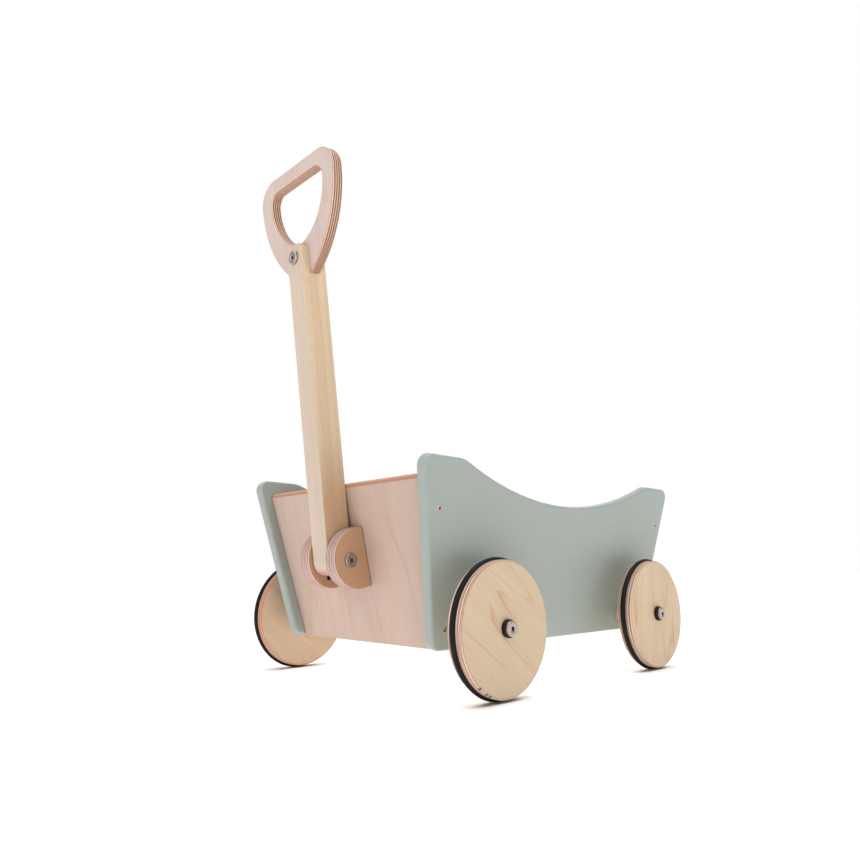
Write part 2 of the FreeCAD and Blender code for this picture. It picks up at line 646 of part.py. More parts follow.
def build():
    """Every sub-part by name, in place."""
    parts = {}
    axles = {end: axle(end) for end in AXLE_X}
    right_places = side_screw_places()
    right_holes = Part.makeCompound(screw_solids(right_places, SIDE_SCREW_LENGTH, False))
    left_holes = mirrored_left(right_holes)
    floor_holes = Part.makeCompound(screw_solids(floor_screw_places(), FLOOR_SCREW_LENGTH, False))
    ear_holes = Part.makeCompound(screw_solids(ear_screw_places(), EAR_SCREW_LENGTH, False))
    insert_seat = Part.makeCylinder(INSERT_RADIUS, INSERT_LENGTH)
    insert_seats = [placed(insert_seat, point, into) for point, into in axle_end_places()]

    side = side_blank().cut([axles["rear"], axles["front"], right_holes])
    parts["side_panel_right"] = side
    parts["side_panel_left"] = mirrored_left(side)
    parts["rear_panel"] = end_blank("rear").cut([right_holes, left_holes, ear_holes])
    parts["front_panel"] = end_blank("front").cut([right_holes, left_holes])
    parts["floor_panel"] = floor_blank().cut(floor_holes)
    parts["side_screws_right"] = Part.makeCompound(screw_solids(right_places, SIDE_SCREW_LENGTH, True))
    parts["side_screws_left"] = mirrored_left(parts["side_screws_right"])
    parts["floor_screws"] = Part.makeCompound(screw_solids(floor_screw_places(), FLOOR_SCREW_LENGTH, True))
    parts["ear_screws"] = Part.makeCompound(screw_solids(ear_screw_places(), EAR_SCREW_LENGTH, True))

    for end in AXLE_X:
        parts[f"axle_{end}"] = axles[end].cut(insert_seats + [floor_holes])
    parts["axle_inserts"] = axle_inserts()
    parts["wheel_bolts"] = wheel_bolts()
    for end in AXLE_X:
        for name, side_sign in SIDES.items():
            parts[f"wheel_disc_{end}_{name}"] = at_wheel(wheel_disc(side_sign), end, side_sign)
            parts[f"tyre_{end}_{name}"] = at_wheel(tyre(side_sign), end, side_sign)
            parts[f"hub_bush_{end}_{name}"] = at_wheel(hub_bush(), end, side_sign)

    for name, side_sign in SIDES.items():
        parts[f"ear_{name}"] = ear(side_sign).cut(ear_holes)
    parts["pivot_nut"] = pivot_nut()
    parts["pivot_bolt"] = pivot_bolt()
    parts["pivot_washers"] = pivot_washers()

    parts["handle_bar"] = leaned(bar_blank().cut(grip_tube_hole()))
    parts["handle_grip"] = leaned(grip_blank().cut(grip_tube_hole()))
    parts["grip_bolt"] = leaned(grip_bolt())
    parts["grip_nut"] = leaned(grip_nut())
    return parts


os.makedirs("parts", exist_ok=True)
for node, shape in build().items():
    shape.exportStep(f"parts/{node}.step")
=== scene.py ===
"""Looks of a wooden push-along wagon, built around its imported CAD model.

Boards, the bar, axles, washers and inserts keep their CAD meshes. The wood is a solid procedural
material that runs through each board in its own axes, so faces, edges and holes agree. Wheels,
tyres, bushes, bolts, nuts and screws are turned again here at a finer grade and stand for their CAD
nodes. Metres, CAD frame.
"""

import json
import math

import bmesh
import bpy
from mathutils import Matrix, Vector

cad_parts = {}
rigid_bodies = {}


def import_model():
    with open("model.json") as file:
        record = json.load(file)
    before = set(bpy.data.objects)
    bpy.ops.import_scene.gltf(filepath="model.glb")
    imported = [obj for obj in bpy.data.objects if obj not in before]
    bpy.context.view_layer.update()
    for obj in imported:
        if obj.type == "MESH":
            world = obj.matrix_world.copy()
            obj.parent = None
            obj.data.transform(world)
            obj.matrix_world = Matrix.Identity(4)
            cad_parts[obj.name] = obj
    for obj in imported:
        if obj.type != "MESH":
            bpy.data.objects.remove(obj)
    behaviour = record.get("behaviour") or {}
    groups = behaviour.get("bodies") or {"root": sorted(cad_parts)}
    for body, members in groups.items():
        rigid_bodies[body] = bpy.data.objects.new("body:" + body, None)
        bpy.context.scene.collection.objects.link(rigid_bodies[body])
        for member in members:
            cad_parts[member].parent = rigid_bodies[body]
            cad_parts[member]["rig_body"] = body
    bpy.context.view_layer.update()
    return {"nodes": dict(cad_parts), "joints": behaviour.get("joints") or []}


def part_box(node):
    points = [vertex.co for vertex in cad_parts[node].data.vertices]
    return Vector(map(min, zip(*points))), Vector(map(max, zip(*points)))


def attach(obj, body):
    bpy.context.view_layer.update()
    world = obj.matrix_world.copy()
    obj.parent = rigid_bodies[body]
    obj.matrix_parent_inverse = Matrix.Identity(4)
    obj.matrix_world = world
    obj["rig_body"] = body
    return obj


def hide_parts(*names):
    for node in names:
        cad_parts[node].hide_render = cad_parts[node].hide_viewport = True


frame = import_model()

MM = 0.001
UP = Vector((0, 0, 1))
FORWARD = Vector((1, 0, 0))
LEFT = Vector((0, 1, 0))
ENDS = ("rear", "front")
SIDES = {"right": -1, "left": 1}

# Sizes that the CAD model is drawn with, and the finer ones of the pieces turned here
SIDE_LEAN = math.radians(10)
END_LEAN = math.radians(13)
HANDLE_LEAN = math.radians(8)
PANEL_THICKNESS = 12 * MM
WHEEL_RADIUS = 60.8 * MM
WHEEL_THICKNESS = 17 * MM
WHEEL_EDGE_ROUNDING = 2 * MM
TYRE_RING_RADIUS = 59.9 * MM
TYRE_SECTION_RADIUS = 3.3 * MM
TYRE_FROM_WIDE_SIDE = 10.1 * MM
TYRE_PARTING_LINE = 0.12 * MM
WHEEL_CHAMFER = 0.25 * MM
BUSH_RADIUS = 6 * MM
BUSH_BORE_RADIUS = 4.08 * MM
BUSH_FLANGE_RADIUS = 8.2 * MM
BUSH_FLANGE_THICKNESS = 3.8 * MM
BUSH_FLANGE_ROUNDING = 0.6 * MM
BUSH_FLANGE_CHAMFER = 0.2 * MM
BUSH_BORE_CHAMFER = 0.3 * MM
BUSH_COUNTERBORE = 0.9 * MM
BUSH_TO_BOLT_HEAD = 0.3 * MM
WHEEL_TO_AXLE = 0.6 * MM
BOLT_HEAD_RADIUS = 7.2 * MM
BOLT_HEAD_THICKNESS = 2.7 * MM
BOLT_HEAD_FLAT_RADIUS = 5.73 * MM
BOLT_HEAD_DOME = 1.15 * MM
BOLT_HEAD_CHAMFER = 0.25 * MM
BOLT_SOCKET_FLATS = 4 * MM
BOLT_SOCKET_DRILL_RADIUS = 1.68 * MM
BOLT_SOCKET_DEPTH = 2.2 * MM
BOLT_SHOULDER_RADIUS = 4 * MM
BOLT_SHOULDER_CHAMFER = 0.3 * MM
BOLT_THREAD_RADIUS = 3 * MM
THREAD_PITCH = 1 * MM
THREAD_DEPTH = 0.3 * MM
THREAD_START = 0.01 * MM
THREAD_POINT = 1.2 * MM
DRILL_POINT = 0.2 * MM
NUT_DRILL_TIP_RADIUS = 0.5 * MM
NUT_DRILL_CONE = 1 * MM
WHEEL_BOLT_THREAD = 16 * MM
PIVOT_BOLT_LENGTH = 38 * MM
PIVOT_NUT_SHORT_OF_EARS = 2.2 * MM
PIVOT_NUT_BORE = 44 * MM
GRIP_BOLT_LENGTH = 22 * MM
GRIP_NUT_LENGTH = 27 * MM
GRIP_NUT_BORE = 24 * MM
SCREW_HEAD_RADIUS = 3.5 * MM
SCREW_HEAD_RIM = 0.3 * MM
SCREW_HEAD_CHAMFER = 0.1 * MM
SCREW_SHANK_RADIUS = 2 * MM
SCREW_SOCKET_FLATS = 3 * MM
SCREW_SOCKET_DRILL_RADIUS = 1.2 * MM
SCREW_SOCKET_DEPTH = 1.3 * MM
SCREW_SOCKET_CHAMFER = 0.15 * MM
SCREW_CORE_RADIUS = 1.4 * MM
SCREW_PLAIN_SHARE = 0.35
SCREW_TIP_LENGTH = 4 * MM
SCREW_TIP_RADIUS = 0.2 * MM
SCREW_PITCH = 1.8 * MM
SIDE_SCREW_LENGTH = 45 * MM
SIDE_SCREW_RISES = (19 * MM, 128 * MM)
FLOOR_SCREW_LENGTH = 25 * MM
FLOOR_SCREW_Y = 62 * MM
EAR_SCREW_LENGTH = 38 * MM
EAR_SCREW_OFFSET = 18 * MM
EAR_RISE = 90 * MM
PANEL_FOOT = 41.5 * MM
HOPPER_MIDDLE_X = 28 * MM
SIDE_FOOT_HALF_LENGTH = 186 * MM
SIDE_FOOT_Y = 115.2 * MM
END_RECESS = {"rear": 12 * MM, "front": 9 * MM}
EAR_GAP = 28.4 * MM
EAR_THICKNESS = 15 * MM
PIN_HOLE_OUT = 19 * MM
PIN_HOLE_BELOW_PIVOT = 17.8 * MM
# painted shade inside the pin hole of each ear: the depth of its middle and how far it reaches
PIN_HOLE_SHADE_DEPTH = 5.5 * MM
PIN_HOLE_SHADE_REACH = 6.2 * MM
BAR_DEPTH = 30 * MM
GRIP_THICKNESS = 12 * MM
GRIP_BOLT_HEIGHT = 317 * MM

# Places of marks in the wood, each in its board's axes or its wheel's
GRIP_KNOT = Vector((416 * MM, -2 * MM, 0))
GRIP_KNOT_RADIUS = 0.9 * MM
WHEEL_BURNS = [
    (Vector((-37.2 * MM, -47.2 * MM, 16.3 * MM)), 2.1 * MM),
    (Vector((-28.8 * MM, -52.8 * MM, 16.3 * MM)), 1.9 * MM),
    (Vector((-24.4 * MM, -55 * MM, 16.3 * MM)), 2 * MM),
]

# How finely the turned pieces are divided, and how far their edges are softened
WHEEL_SEGMENTS = 256
TYRE_STEPS = 72
BUSH_SEGMENTS = 96
BOLT_SEGMENTS = 72
BOLT_DOME_STEPS = 6
SCREW_SEGMENTS = 48
WHEEL_SOFTENING = 0.05 * MM
BUSH_SOFTENING = 0.06 * MM
BOLT_SOFTENING = 0.08 * MM

# Places read from the record's joints
joints = {joint["name"]: joint for joint in frame["joints"]}
PIVOT = Vector(joints["handle_pivot"]["pos_m"])
WHEEL_PLACES = {
    (end, side): Vector(joints[f"wheel_{end}_{side}_spin"]["pos_m"]) for end in ENDS for side in SIDES
}

# The leaning boards: which way each faces, and where its outer face meets the level of the hopper's foot
END_SIGNS = {"rear": -1, "front": 1}
END_OUTWARD = {
    end: Vector((sign * math.cos(END_LEAN), 0, -math.sin(END_LEAN))) for end, sign in END_SIGNS.items()
}
END_FOOT = {
    end: Vector((HOPPER_MIDDLE_X + sign * (SIDE_FOOT_HALF_LENGTH - END_RECESS[end]), 0, PANEL_FOOT))
    for end, sign in END_SIGNS.items()
}
END_UP = {
    end: Vector((sign * math.sin(END_LEAN), 0, math.cos(END_LEAN))) for end, sign in END_SIGNS.items()
}
FLOOR_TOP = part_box("floor_panel")[1].z
FLOOR_THICKNESS = FLOOR_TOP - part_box("floor_panel")[0].z
HANDLE_AXIS = Vector((-math.sin(HANDLE_LEAN), 0, math.cos(HANDLE_LEAN)))
HANDLE_OUTWARD = Vector((-math.cos(HANDLE_LEAN), 0, -math.sin(HANDLE_LEAN)))

# Camera and light
CAMERA_PLACE = Vector((-0.60614, -0.57007, 0.11615))
CAMERA_YAW = 45.596
CAMERA_PITCH = 11.577
CAMERA_ROLL = -0.246
CAMERA_LENS = 28.304
CAMERA_NEAREST = 0.01
LIGHT_AIM = Vector((0, 0, 0.15))
# Each softbox's name, place, width, power and colour, and whether the wheels cast shadows in it
SOFTBOXES = (
    ("left_softbox", Vector((-3.0, 0.6, 1.1)), 3.2, 36.5, (0.95, 0.98, 1.0), True),
    ("right_softbox", Vector((-0.2, -3.0, 1.1)), 3.6, 35, (1.0, 0.97, 0.93), False),
    ("top_softbox", Vector((-0.2, 0.1, 3.2)), 2.4, 74, (1.0, 1.0, 1.0), True),
    ("front_softbox", Vector((2.4, 2.0, 1.2)), 2.4, 22, (1.0, 1.0, 1.0), True),
)
FLOOR_HALF_WIDTH = 15
FLOOR_WHITE = (0.9, 0.9, 0.9, 1)
FLOOR_SUN = 4.25
FLOOR_SUN_WIDTH = 95
FLOOR_SUN_LEAN = 8
ROOM_FILL = 0.27
ROOM_REFLECTION = 0.8
DARK_SIDE = Vector((-0.69, -0.69, 0.2))
DARK_SIDE_EDGE = (0.9, 0.98)
DARK_SIDE_REFLECTION = 0.03


def linear(red, green, blue):
    """A colour given as 0 to 255 display values, as the linear values that a shader takes."""

    def one(value):
        value = value / 255
        return value / 12.92 if value <= 0.04045 else ((value + 0.055) / 1.055) ** 2.4

    return (one(red), one(green), one(blue), 1)


def axes_at(origin, along, inward):
    """Placement whose X runs along the grain and whose Z runs into the board from its outer face."""
    depth = inward.normalized()
    grain = (along - depth * along.dot(depth)).normalized()
    across = depth.cross(grain)
    placement = Matrix((grain, across, depth)).transposed().to_4x4()
    placement.translation = origin
    return placement


# ---------------------------------------------------------------- material building


class Wiring:
    """A node tree under construction. Each call adds a node and returns its output socket."""

    def __init__(self, tree):
        self.nodes = tree.nodes
        self.links = tree.links

    def feed(self, socket, value):
        if isinstance(value, bpy.types.NodeSocket):
            self.links.new(value, socket)
        elif value is not None:
            socket.default_value = value

    def node(self, kind, inputs, **settings):
        node = self.nodes.new(kind)
        for name, value in settings.items():
            setattr(node, name, value)
        for key, value in inputs.items():
            self.feed(node.inputs[key], value)
        return node

    def math(self, operation, *values):
        return self.node("ShaderNodeMath", dict(enumerate(values)), operation=operation).outputs[0]

    def clamp(self, value, low, high):
        return self.node("ShaderNodeClamp", {"Value": value, "Min": low, "Max": high}).outputs[0]

    def blend(self, factor, first, second):
        """Between two numbers."""
        return self.node("ShaderNodeMix", {0: factor, 2: first, 3: second}, data_type="FLOAT").outputs[0]

    def tint(self, factor, first, second):
        """Between two colours."""
        return self.node("ShaderNodeMix", {0: factor, 6: first, 7: second}, data_type="RGBA").outputs[2]

    def ease(self, value, start, end, low=0.0, high=1.0):
        """A smooth step from low to high as a value goes from start to end."""
        inputs = {"Value": value, "From Min": start, "From Max": end, "To Min": low, "To Max": high}
        return self.node("ShaderNodeMapRange", inputs, interpolation_type="SMOOTHSTEP").outputs[0]

    def split(self, vector):
        return self.node("ShaderNodeSeparateXYZ", {0: vector}).outputs

    def join(self, x, y, z):
        return self.node("ShaderNodeCombineXYZ", {0: x, 1: y, 2: z}).outputs[0]

    def stretched(self, x, y, z, by):
        """A vector with each part multiplied by its own number."""
        return self.join(*[self.math("MULTIPLY", part, scale) for part, scale in zip((x, y, z), by)])

    def noise(self, vector, scale=1.0, detail=1.0, roughness=0.5, distortion=0.0):
        inputs = {"Vector": vector, "Scale": scale, "Detail": detail}
        inputs.update({"Roughness": roughness, "Distortion": distortion})
        return self.node("ShaderNodeTexNoise", inputs).outputs[0]

    def swing(self, value, amount):
        """A noise value, 0 to 1, as a factor that swings either side of one."""
        return self.math("MULTIPLY_ADD", self.math("SUBTRACT", value, 0.5), 2 * amount, 1.0)

    def scaled(self, colour, factor):
        if not isinstance(colour, bpy.types.NodeSocket):
            colour = colour[:3]
        return self.node("ShaderNodeVectorMath", {0: colour, "Scale": factor}, operation="SCALE").outputs[0]

    def distance(self, vector, point):
        node = self.node("ShaderNodeVectorMath", {0: vector, 1: point}, operation="DISTANCE")
        return node.outputs["Value"]


class Look(Wiring):
    """A material on the Principled shader, with the values that are the same all over it set at once."""

    def __init__(self, name, **fixed):
        self.material = bpy.data.materials.new(name)
        self.material.use_nodes = True
        super().__init__(self.material.node_tree)
        self.shader = self.nodes["Principled BSDF"]
        for socket, value in fixed.items():
            self.feed(self.shader.inputs[socket.replace("_", " ")], value)

    def own_axes(self, placement=None):
        """Position and normal in an object's own axes, or in a board's axes within them."""
        source = self.node("ShaderNodeTexCoord", {})
        if placement is None:
            return source.outputs["Object"], source.outputs["Normal"]
        turn = placement.to_euler()
        origin = placement.translation
        place = {"Vector": source.outputs["Object"], "Location": origin, "Rotation": turn}
        facing = {"Vector": source.outputs["Normal"], "Rotation": turn}
        position = self.node("ShaderNodeMapping", place, vector_type="TEXTURE").outputs[0]
        normal = self.node("ShaderNodeMapping", facing, vector_type="TEXTURE").outputs[0]
        return position, normal

    def finish(self, colour, roughness, height, relief):
        """Plugs in the colour, the roughness and a relief in metres made from a height of about 0 to 1."""
        self.feed(self.shader.inputs["Base Color"], colour)
        self.feed(self.shader.inputs["Roughness"], roughness)
        bump = self.node("ShaderNodeBump", {"Strength": 1.0, "Distance": relief, "Height": height})
        self.feed(self.shader.inputs["Normal"], bump.outputs["Normal"])
        return self.material


# ---------------------------------------------------------------- wood

BIRCH_LACQUER = {"IOR": 1.45, "Specular_IOR_Level": 0.35}
FACE_PINK = linear(200, 181, 172)
FACE_ROSE = linear(192, 168, 154)
FACE_CREAM = linear(205, 183, 155)
FACE_AMBER = linear(215, 186, 158)
# the bar's broad and narrow faces in two colours, a painted difference of how the light falls on them
BAR_BACK_AS_LIT = linear(203, 184, 167)
BAR_SIDE_AS_LIT = linear(213, 190, 160)
# the ears' own tan, also used as the painted shade on the bar's foot
EAR_TAN_AND_BAR_FOOT_SHADE = linear(184, 145, 114)
EDGE_PINK = (linear(220, 196, 179), linear(176, 130, 106))
EDGE_ROSE = (linear(214, 194, 184), linear(172, 130, 122))
EDGE_ORANGE = (linear(216, 164, 132), linear(196, 142, 112))
EDGE_RED = (linear(216, 186, 164), linear(146, 96, 76))
RING_ORANGE = linear(188, 138, 96)
END_GRAIN = linear(158, 104, 78)
GLUE_BROWN = linear(92, 52, 40)
# colour of knots and burns, and of the painted shade inside the ears' pin holes
MARK_AND_HOLE_SHADE_BROWN = linear(50, 34, 26)
# painted shade in the gaps beside neighbouring boards
SEAM_PAINTED_SHADE = linear(60, 42, 32)
SAGE = linear(154, 162, 156)
# rubbed paint and painted highlight on the side panels' arrises
SAGE_RUBBED_AND_LIT = linear(225, 228, 218)
# painted shade: the dark colour that the walls of hex sockets are tinted with, where shade falls in the
# recess
SOCKET_PAINTED_SHADE = linear(52, 38, 26)
SOCKET_SHADE_FADE = 0.35 * MM
SOCKET_SHARE = 0.6
SOCKET_SPARE = 0.3 * MM
GLUE_LINE = 0.2 * MM
# how far from the neighbouring board the painted gap shade fades
SEAM_SHADE_FADE = (0.25 * MM, 1.1 * MM)
RING_SPACING = 2.3 * MM
# painted shade toward the bar's foot: how far it fades, and where it starts
WARM_SHADE_FADE = 80 * MM
BAR_WARM_SHADE_BELOW = 130 * MM
BAR_PITH = (50 * MM, 12 * MM)
AXLE_PITH = (30 * MM, 20 * MM)
SKIN = 0.01 * MM
WOOD_RELIEF = 0.03 * MM
PAINT_RELIEF = 0.03 * MM
METAL_RELIEF = 0.004 * MM


def fibres(look, along, across, depth, shift):
    """Fine fibre, pore and streak values, 0 to 1, for wood whose grain runs along the first value."""
    deep = look.math("ADD", depth, shift)
    fine = look.noise(look.stretched(along, across, deep, (130, 2600, 2600)), detail=2.0, roughness=0.6)
    dashes = look.noise(look.stretched(along, across, deep, (210, 3100, 3100)), detail=0.0)
    pores = look.ease(dashes, 0.66, 0.74)
    streaks = look.noise(look.stretched(along, across, deep, (9, 420, 420)), detail=3.0, roughness=0.55)
    return fine, pores, streaks


def marks_on(look, position, marks):
    """How far marks in the wood push its growth rings aside, and how dark the marks themselves are. Some
    marks are knots and burns; one is the painted shade inside a hole.
    """
    push = 0.0
    dark = 0.0
    ragged = look.noise(position, scale=900, detail=2.0)
    for place, radius, reach in marks:
        away = look.math("MULTIPLY", look.distance(position, place), look.swing(ragged, 0.7))
        push = look.math("ADD", push, look.ease(away, 0.0, 6 * radius, reach, 0.0))
        dark = look.math("ADD", dark, look.ease(away, 0.4 * radius, radius, 1.0, 0.0))
    return push, look.clamp(dark, 0.0, 1.0)


def plywood(
    name, placement, thickness, plies, face, seed,
    rings=9.0, line_strength=0.5, edge=EDGE_PINK, marks=(), painted_shade_gap=None,
):
    """Birch plywood as a solid: crossed veneers, end grain between long grain, and glue lines.

    The placement's X is the face grain and its Z the depth from the outer face. Face is the face
    veneer's colour, and edge the two colours of long and end grain at the edges. Marks are knots and
    burns, and also the painted shade inside a hole. Painted shade gap, if given, takes the look and the
    position and returns the distance to a neighbouring board, beside which the gap is darkened with painted
    shade.
    """
    look = Look(name, **BIRCH_LACQUER)
    position, normal = look.own_axes(placement)
    x, y, z = look.split(position)
    normal_x, normal_y, _ = look.split(normal)
    ply = thickness / plies
    depth = look.clamp(z, SKIN, thickness - SKIN)
    layers_deep = look.math("DIVIDE", depth, ply)
    layer = look.math("FLOOR", layers_deep)
    crossed = look.math("MODULO", layer, 2.0)
    along = look.blend(crossed, x, y)
    across = look.blend(crossed, y, x)
    shift = look.math("MULTIPLY_ADD", layer, 0.37, seed)
    fine, pores, streaks = fibres(look, along, across, depth, shift)

    # rotary-cut figure: the rings are contour lines of a slow surface stretched along the grain
    push, mark_and_hole_shade = marks_on(look, position, marks)
    swell_place = look.join(look.math("MULTIPLY", along, 3.6), look.math("MULTIPLY", across, 20), shift)
    swell = look.noise(swell_place)
    ring_count = look.math("MULTIPLY", look.math("ADD", swell, push), rings)
    wander = look.noise(look.stretched(along, across, shift, (30, 160, 1)), detail=2.0)
    ring = look.math("FRACT", look.math("MULTIPLY_ADD", wander, 0.22, ring_count))
    late = look.math("MULTIPLY", look.ease(ring, 0.78, 0.97), look.ease(ring, 0.975, 1.0, 1.0, 0.0))
    patchy = look.ease(look.noise(look.stretched(along, across, shift, (11, 45, 1)), detail=1.0), 0.36, 0.66)
    late = look.math("MULTIPLY", late, look.math("MULTIPLY", patchy, line_strength))

    # broad cloudy colour, streaks and fibre, as one factor on the colour
    cloud = look.noise(look.stretched(along, across, shift, (7, 24, 1)), detail=2.0)
    shade = look.math("MULTIPLY", look.swing(cloud, 0.10), look.swing(streaks, 0.10))
    shade = look.math("MULTIPLY", shade, look.swing(fine, 0.10))
    shade = look.math("MULTIPLY_ADD", pores, -0.10, shade)
    warmth = look.noise(look.stretched(along, across, shift, (16, 60, 1)), detail=1.0)

    # edges: long grain stays light, end grain is darker, glue shows between the veneers, and the
    # rounding's start, where sanding has broken through the face veneer, is brown
    end_grain = look.ease(look.math("ABSOLUTE", look.blend(crossed, normal_x, normal_y)), 0.35, 0.95)
    sideways = look.math("ADD", look.math("POWER", normal_x, 2.0), look.math("POWER", normal_y, 2.0))
    edge_on = look.ease(sideways, 0.03, 0.25)
    arris = look.math("MULTIPLY", look.ease(sideways, 0.02, 0.12), look.ease(sideways, 0.22, 0.5, 1.0, 0.0))
    arris = look.math("MULTIPLY", arris, look.ease(fine, 0.3, 0.6, 0.35, 0.8))
    ply_tone = look.noise(look.join(0.0, look.math("MULTIPLY", layer, 7.3), seed))
    boundary = look.math("ROUND", layers_deep)
    off_boundary = look.math("ABSOLUTE", look.math("SUBTRACT", layers_deep, boundary))
    from_glue = look.math("MULTIPLY", off_boundary, ply)
    inner = look.math("GREATER_THAN", boundary, 0.5)
    inner = look.math("MULTIPLY", inner, look.math("LESS_THAN", boundary, plies - 0.5))
    glue = look.math("MULTIPLY", look.ease(from_glue, 0.3 * GLUE_LINE, GLUE_LINE, 1.0, 0.0), inner)

    colour = look.tint(look.ease(warmth, 0.4, 0.75, 0.0, 0.3), face, colour_between(face, RING_ORANGE, 0.4))
    colour = look.tint(late, colour, RING_ORANGE)
    plies_seen = look.scaled(look.tint(end_grain, *edge), look.swing(ply_tone, 0.4))
    colour = look.scaled(look.tint(edge_on, colour, plies_seen), shade)
    colour = look.tint(look.math("MULTIPLY", glue, 0.85), colour, GLUE_BROWN)
    colour = look.tint(arris, colour, END_GRAIN)
    # knots and burns in the wood, and the painted shade inside the ears' pin holes
    colour = look.tint(look.math("MULTIPLY", mark_and_hole_shade, 0.85), colour, MARK_AND_HOLE_SHADE_BROWN)
    # painted shade: a thin band beside a neighbouring board is darkened as the gap's shade
    if painted_shade_gap:
        painted_seam_shade = look.ease(painted_shade_gap(look, x, y), *SEAM_SHADE_FADE, 0.8, 0.0)
        colour = look.tint(painted_seam_shade, colour, SEAM_PAINTED_SHADE)

    roughness = look.math("MULTIPLY_ADD", look.math("SUBTRACT", fine, 0.5), 0.2, 0.5)
    roughness = look.math("MULTIPLY_ADD", end_grain, 0.16, roughness)
    height = look.math("MULTIPLY_ADD", fine, 0.5, look.math("MULTIPLY", streaks, 0.5))
    height = look.math("SUBTRACT", height, look.math("ADD", look.math("MULTIPLY", glue, 1.2), pores))
    return look.finish(colour, roughness, height, WOOD_RELIEF)


def colour_between(first, second, share):
    """A fixed colour between two fixed colours."""
    return tuple(a + (b - a) * share for a, b in zip(first, second))


def solid_birch(name, placement, broad, narrow, pith, seed, warm_shade_below=None):
    """Solid straight-grained birch. X is its length; the rings circle a pith line off to one side.

    Broad is the colour of the faces square to Z and narrow of those square to Y, each as it shows lit,
    which paints a difference of light between them. Narrow can turn a darker tan below a place along the
    length, painted shade and warm bounce light near the foot.
    """
    look = Look(name, **BIRCH_LACQUER)
    position, normal = look.own_axes(placement)
    x, y, z = look.split(position)
    normal_x, normal_y, _ = look.split(normal)
    fine, pores, streaks = fibres(look, x, y, z, seed)
    bend = look.noise(look.stretched(x, y, z, (2.2, 12, 12)), detail=1.0)
    from_pith = look.distance(look.join(0.0, y, z), (0, pith[0], pith[1]))
    ring_count = look.math("MULTIPLY_ADD", bend, 2.0, look.math("DIVIDE", from_pith, RING_SPACING))
    ring = look.math("FRACT", ring_count)
    late = look.math("MULTIPLY", look.ease(ring, 0.45, 0.95), look.ease(ring, 0.96, 1.0, 1.0, 0.0))
    cloud = look.noise(look.stretched(x, y, z, (6, 30, 30)), detail=2.0)
    shade = look.math("MULTIPLY", look.swing(cloud, 0.09), look.swing(streaks, 0.11))
    shade = look.math("MULTIPLY", shade, look.swing(fine, 0.09))
    shade = look.math("MULTIPLY_ADD", pores, -0.09, shade)
    side_on = look.ease(look.math("ABSOLUTE", normal_y), 0.35, 0.8)
    end_grain = look.ease(look.math("ABSOLUTE", normal_x), 0.3, 0.85)
    # painted shade and warm bounce light: the narrow faces turn tan toward the bar's foot
    if warm_shade_below:
        narrow = look.tint(look.ease(x, warm_shade_below - WARM_SHADE_FADE, warm_shade_below, 0.75, 0.0), narrow, EAR_TAN_AND_BAR_FOOT_SHADE)
    # painted light: the narrow and broad faces take the colours they show as lit
    colour = look.tint(side_on, broad, narrow)
    colour = look.tint(look.math("MULTIPLY", late, 0.2), colour, RING_ORANGE)
    colour = look.tint(look.math("MULTIPLY", end_grain, 0.6), colour, END_GRAIN)
    colour = look.scaled(colour, shade)
    roughness = look.math("MULTIPLY_ADD", look.math("SUBTRACT", fine, 0.5), 0.2, 0.48)
    roughness = look.math("MULTIPLY_ADD", end_grain, 0.15, roughness)
    height = look.math("MULTIPLY_ADD", late, 0.3, look.math("MULTIPLY_ADD", fine, 0.5, streaks))
    height = look.math("SUBTRACT", height, pores)
    return look.finish(colour, roughness, height, WOOD_RELIEF)


# ---------------------------------------------------------------- paint, metal, rubber


def satin_paint(name, placement, thickness, plies, coat, seed):
    """Satin paint over plywood: faint roller texture, veneers that show at the edges, arrises lightened as
    rubbed paint with a painted highlight.
    """
    look = Look(name, IOR=1.48, Specular_IOR_Level=0.42)
    position, normal = look.own_axes(placement)
    x, y, z = look.split(position)
    _, _, facing = look.split(normal)
    shifted = look.join(x, y, look.math("ADD", z, seed))
    roller = look.noise(shifted, scale=520, detail=2.0, roughness=0.55)
    speck = look.noise(shifted, scale=2100, detail=1.0)
    cloud = look.noise(shifted, scale=9, detail=2.0)
    lie = look.noise(look.stretched(x, y, z, (12, 220, 220)), detail=2.0)
    veneers = look.math("SINE", look.math("MULTIPLY", z, plies * math.pi / thickness))
    edge_on = look.ease(look.math("ABSOLUTE", facing), 0.55, 0.1)
    arris = look.math(
        "MULTIPLY",
        look.ease(look.math("ABSOLUTE", facing), 0.25, 0.6),
        look.ease(look.math("ABSOLUTE", facing), 0.97, 0.8),
    )
    # rubbed paint and painted highlight: the rounded arrises lighten in patches
    rub_and_highlight = look.math("MULTIPLY", arris, look.ease(look.noise(shifted, scale=38, detail=4.0), 0.5, 0.72))
    shade = look.math("MULTIPLY", look.swing(cloud, 0.05), look.swing(roller, 0.035))
    shade = look.math("MULTIPLY", shade, look.swing(lie, 0.025))
    colour = look.tint(look.math("MULTIPLY", rub_and_highlight, 0.3), coat, colour_between(coat, SAGE_RUBBED_AND_LIT, 0.5))
    colour = look.scaled(colour, shade)
    roughness = look.math("MULTIPLY_ADD", look.math("SUBTRACT", roller, 0.5), 0.16, 0.47)
    roughness = look.math("MULTIPLY_ADD", rub_and_highlight, -0.1, roughness)
    height = look.math("MULTIPLY_ADD", speck, 0.25, roller)
    height = look.math("MULTIPLY_ADD", look.math("MULTIPLY", edge_on, veneers), 0.35, height)
    height = look.math("MULTIPLY_ADD", lie, 0.4, height)
    return look.finish(colour, roughness, height, PAINT_RELIEF)


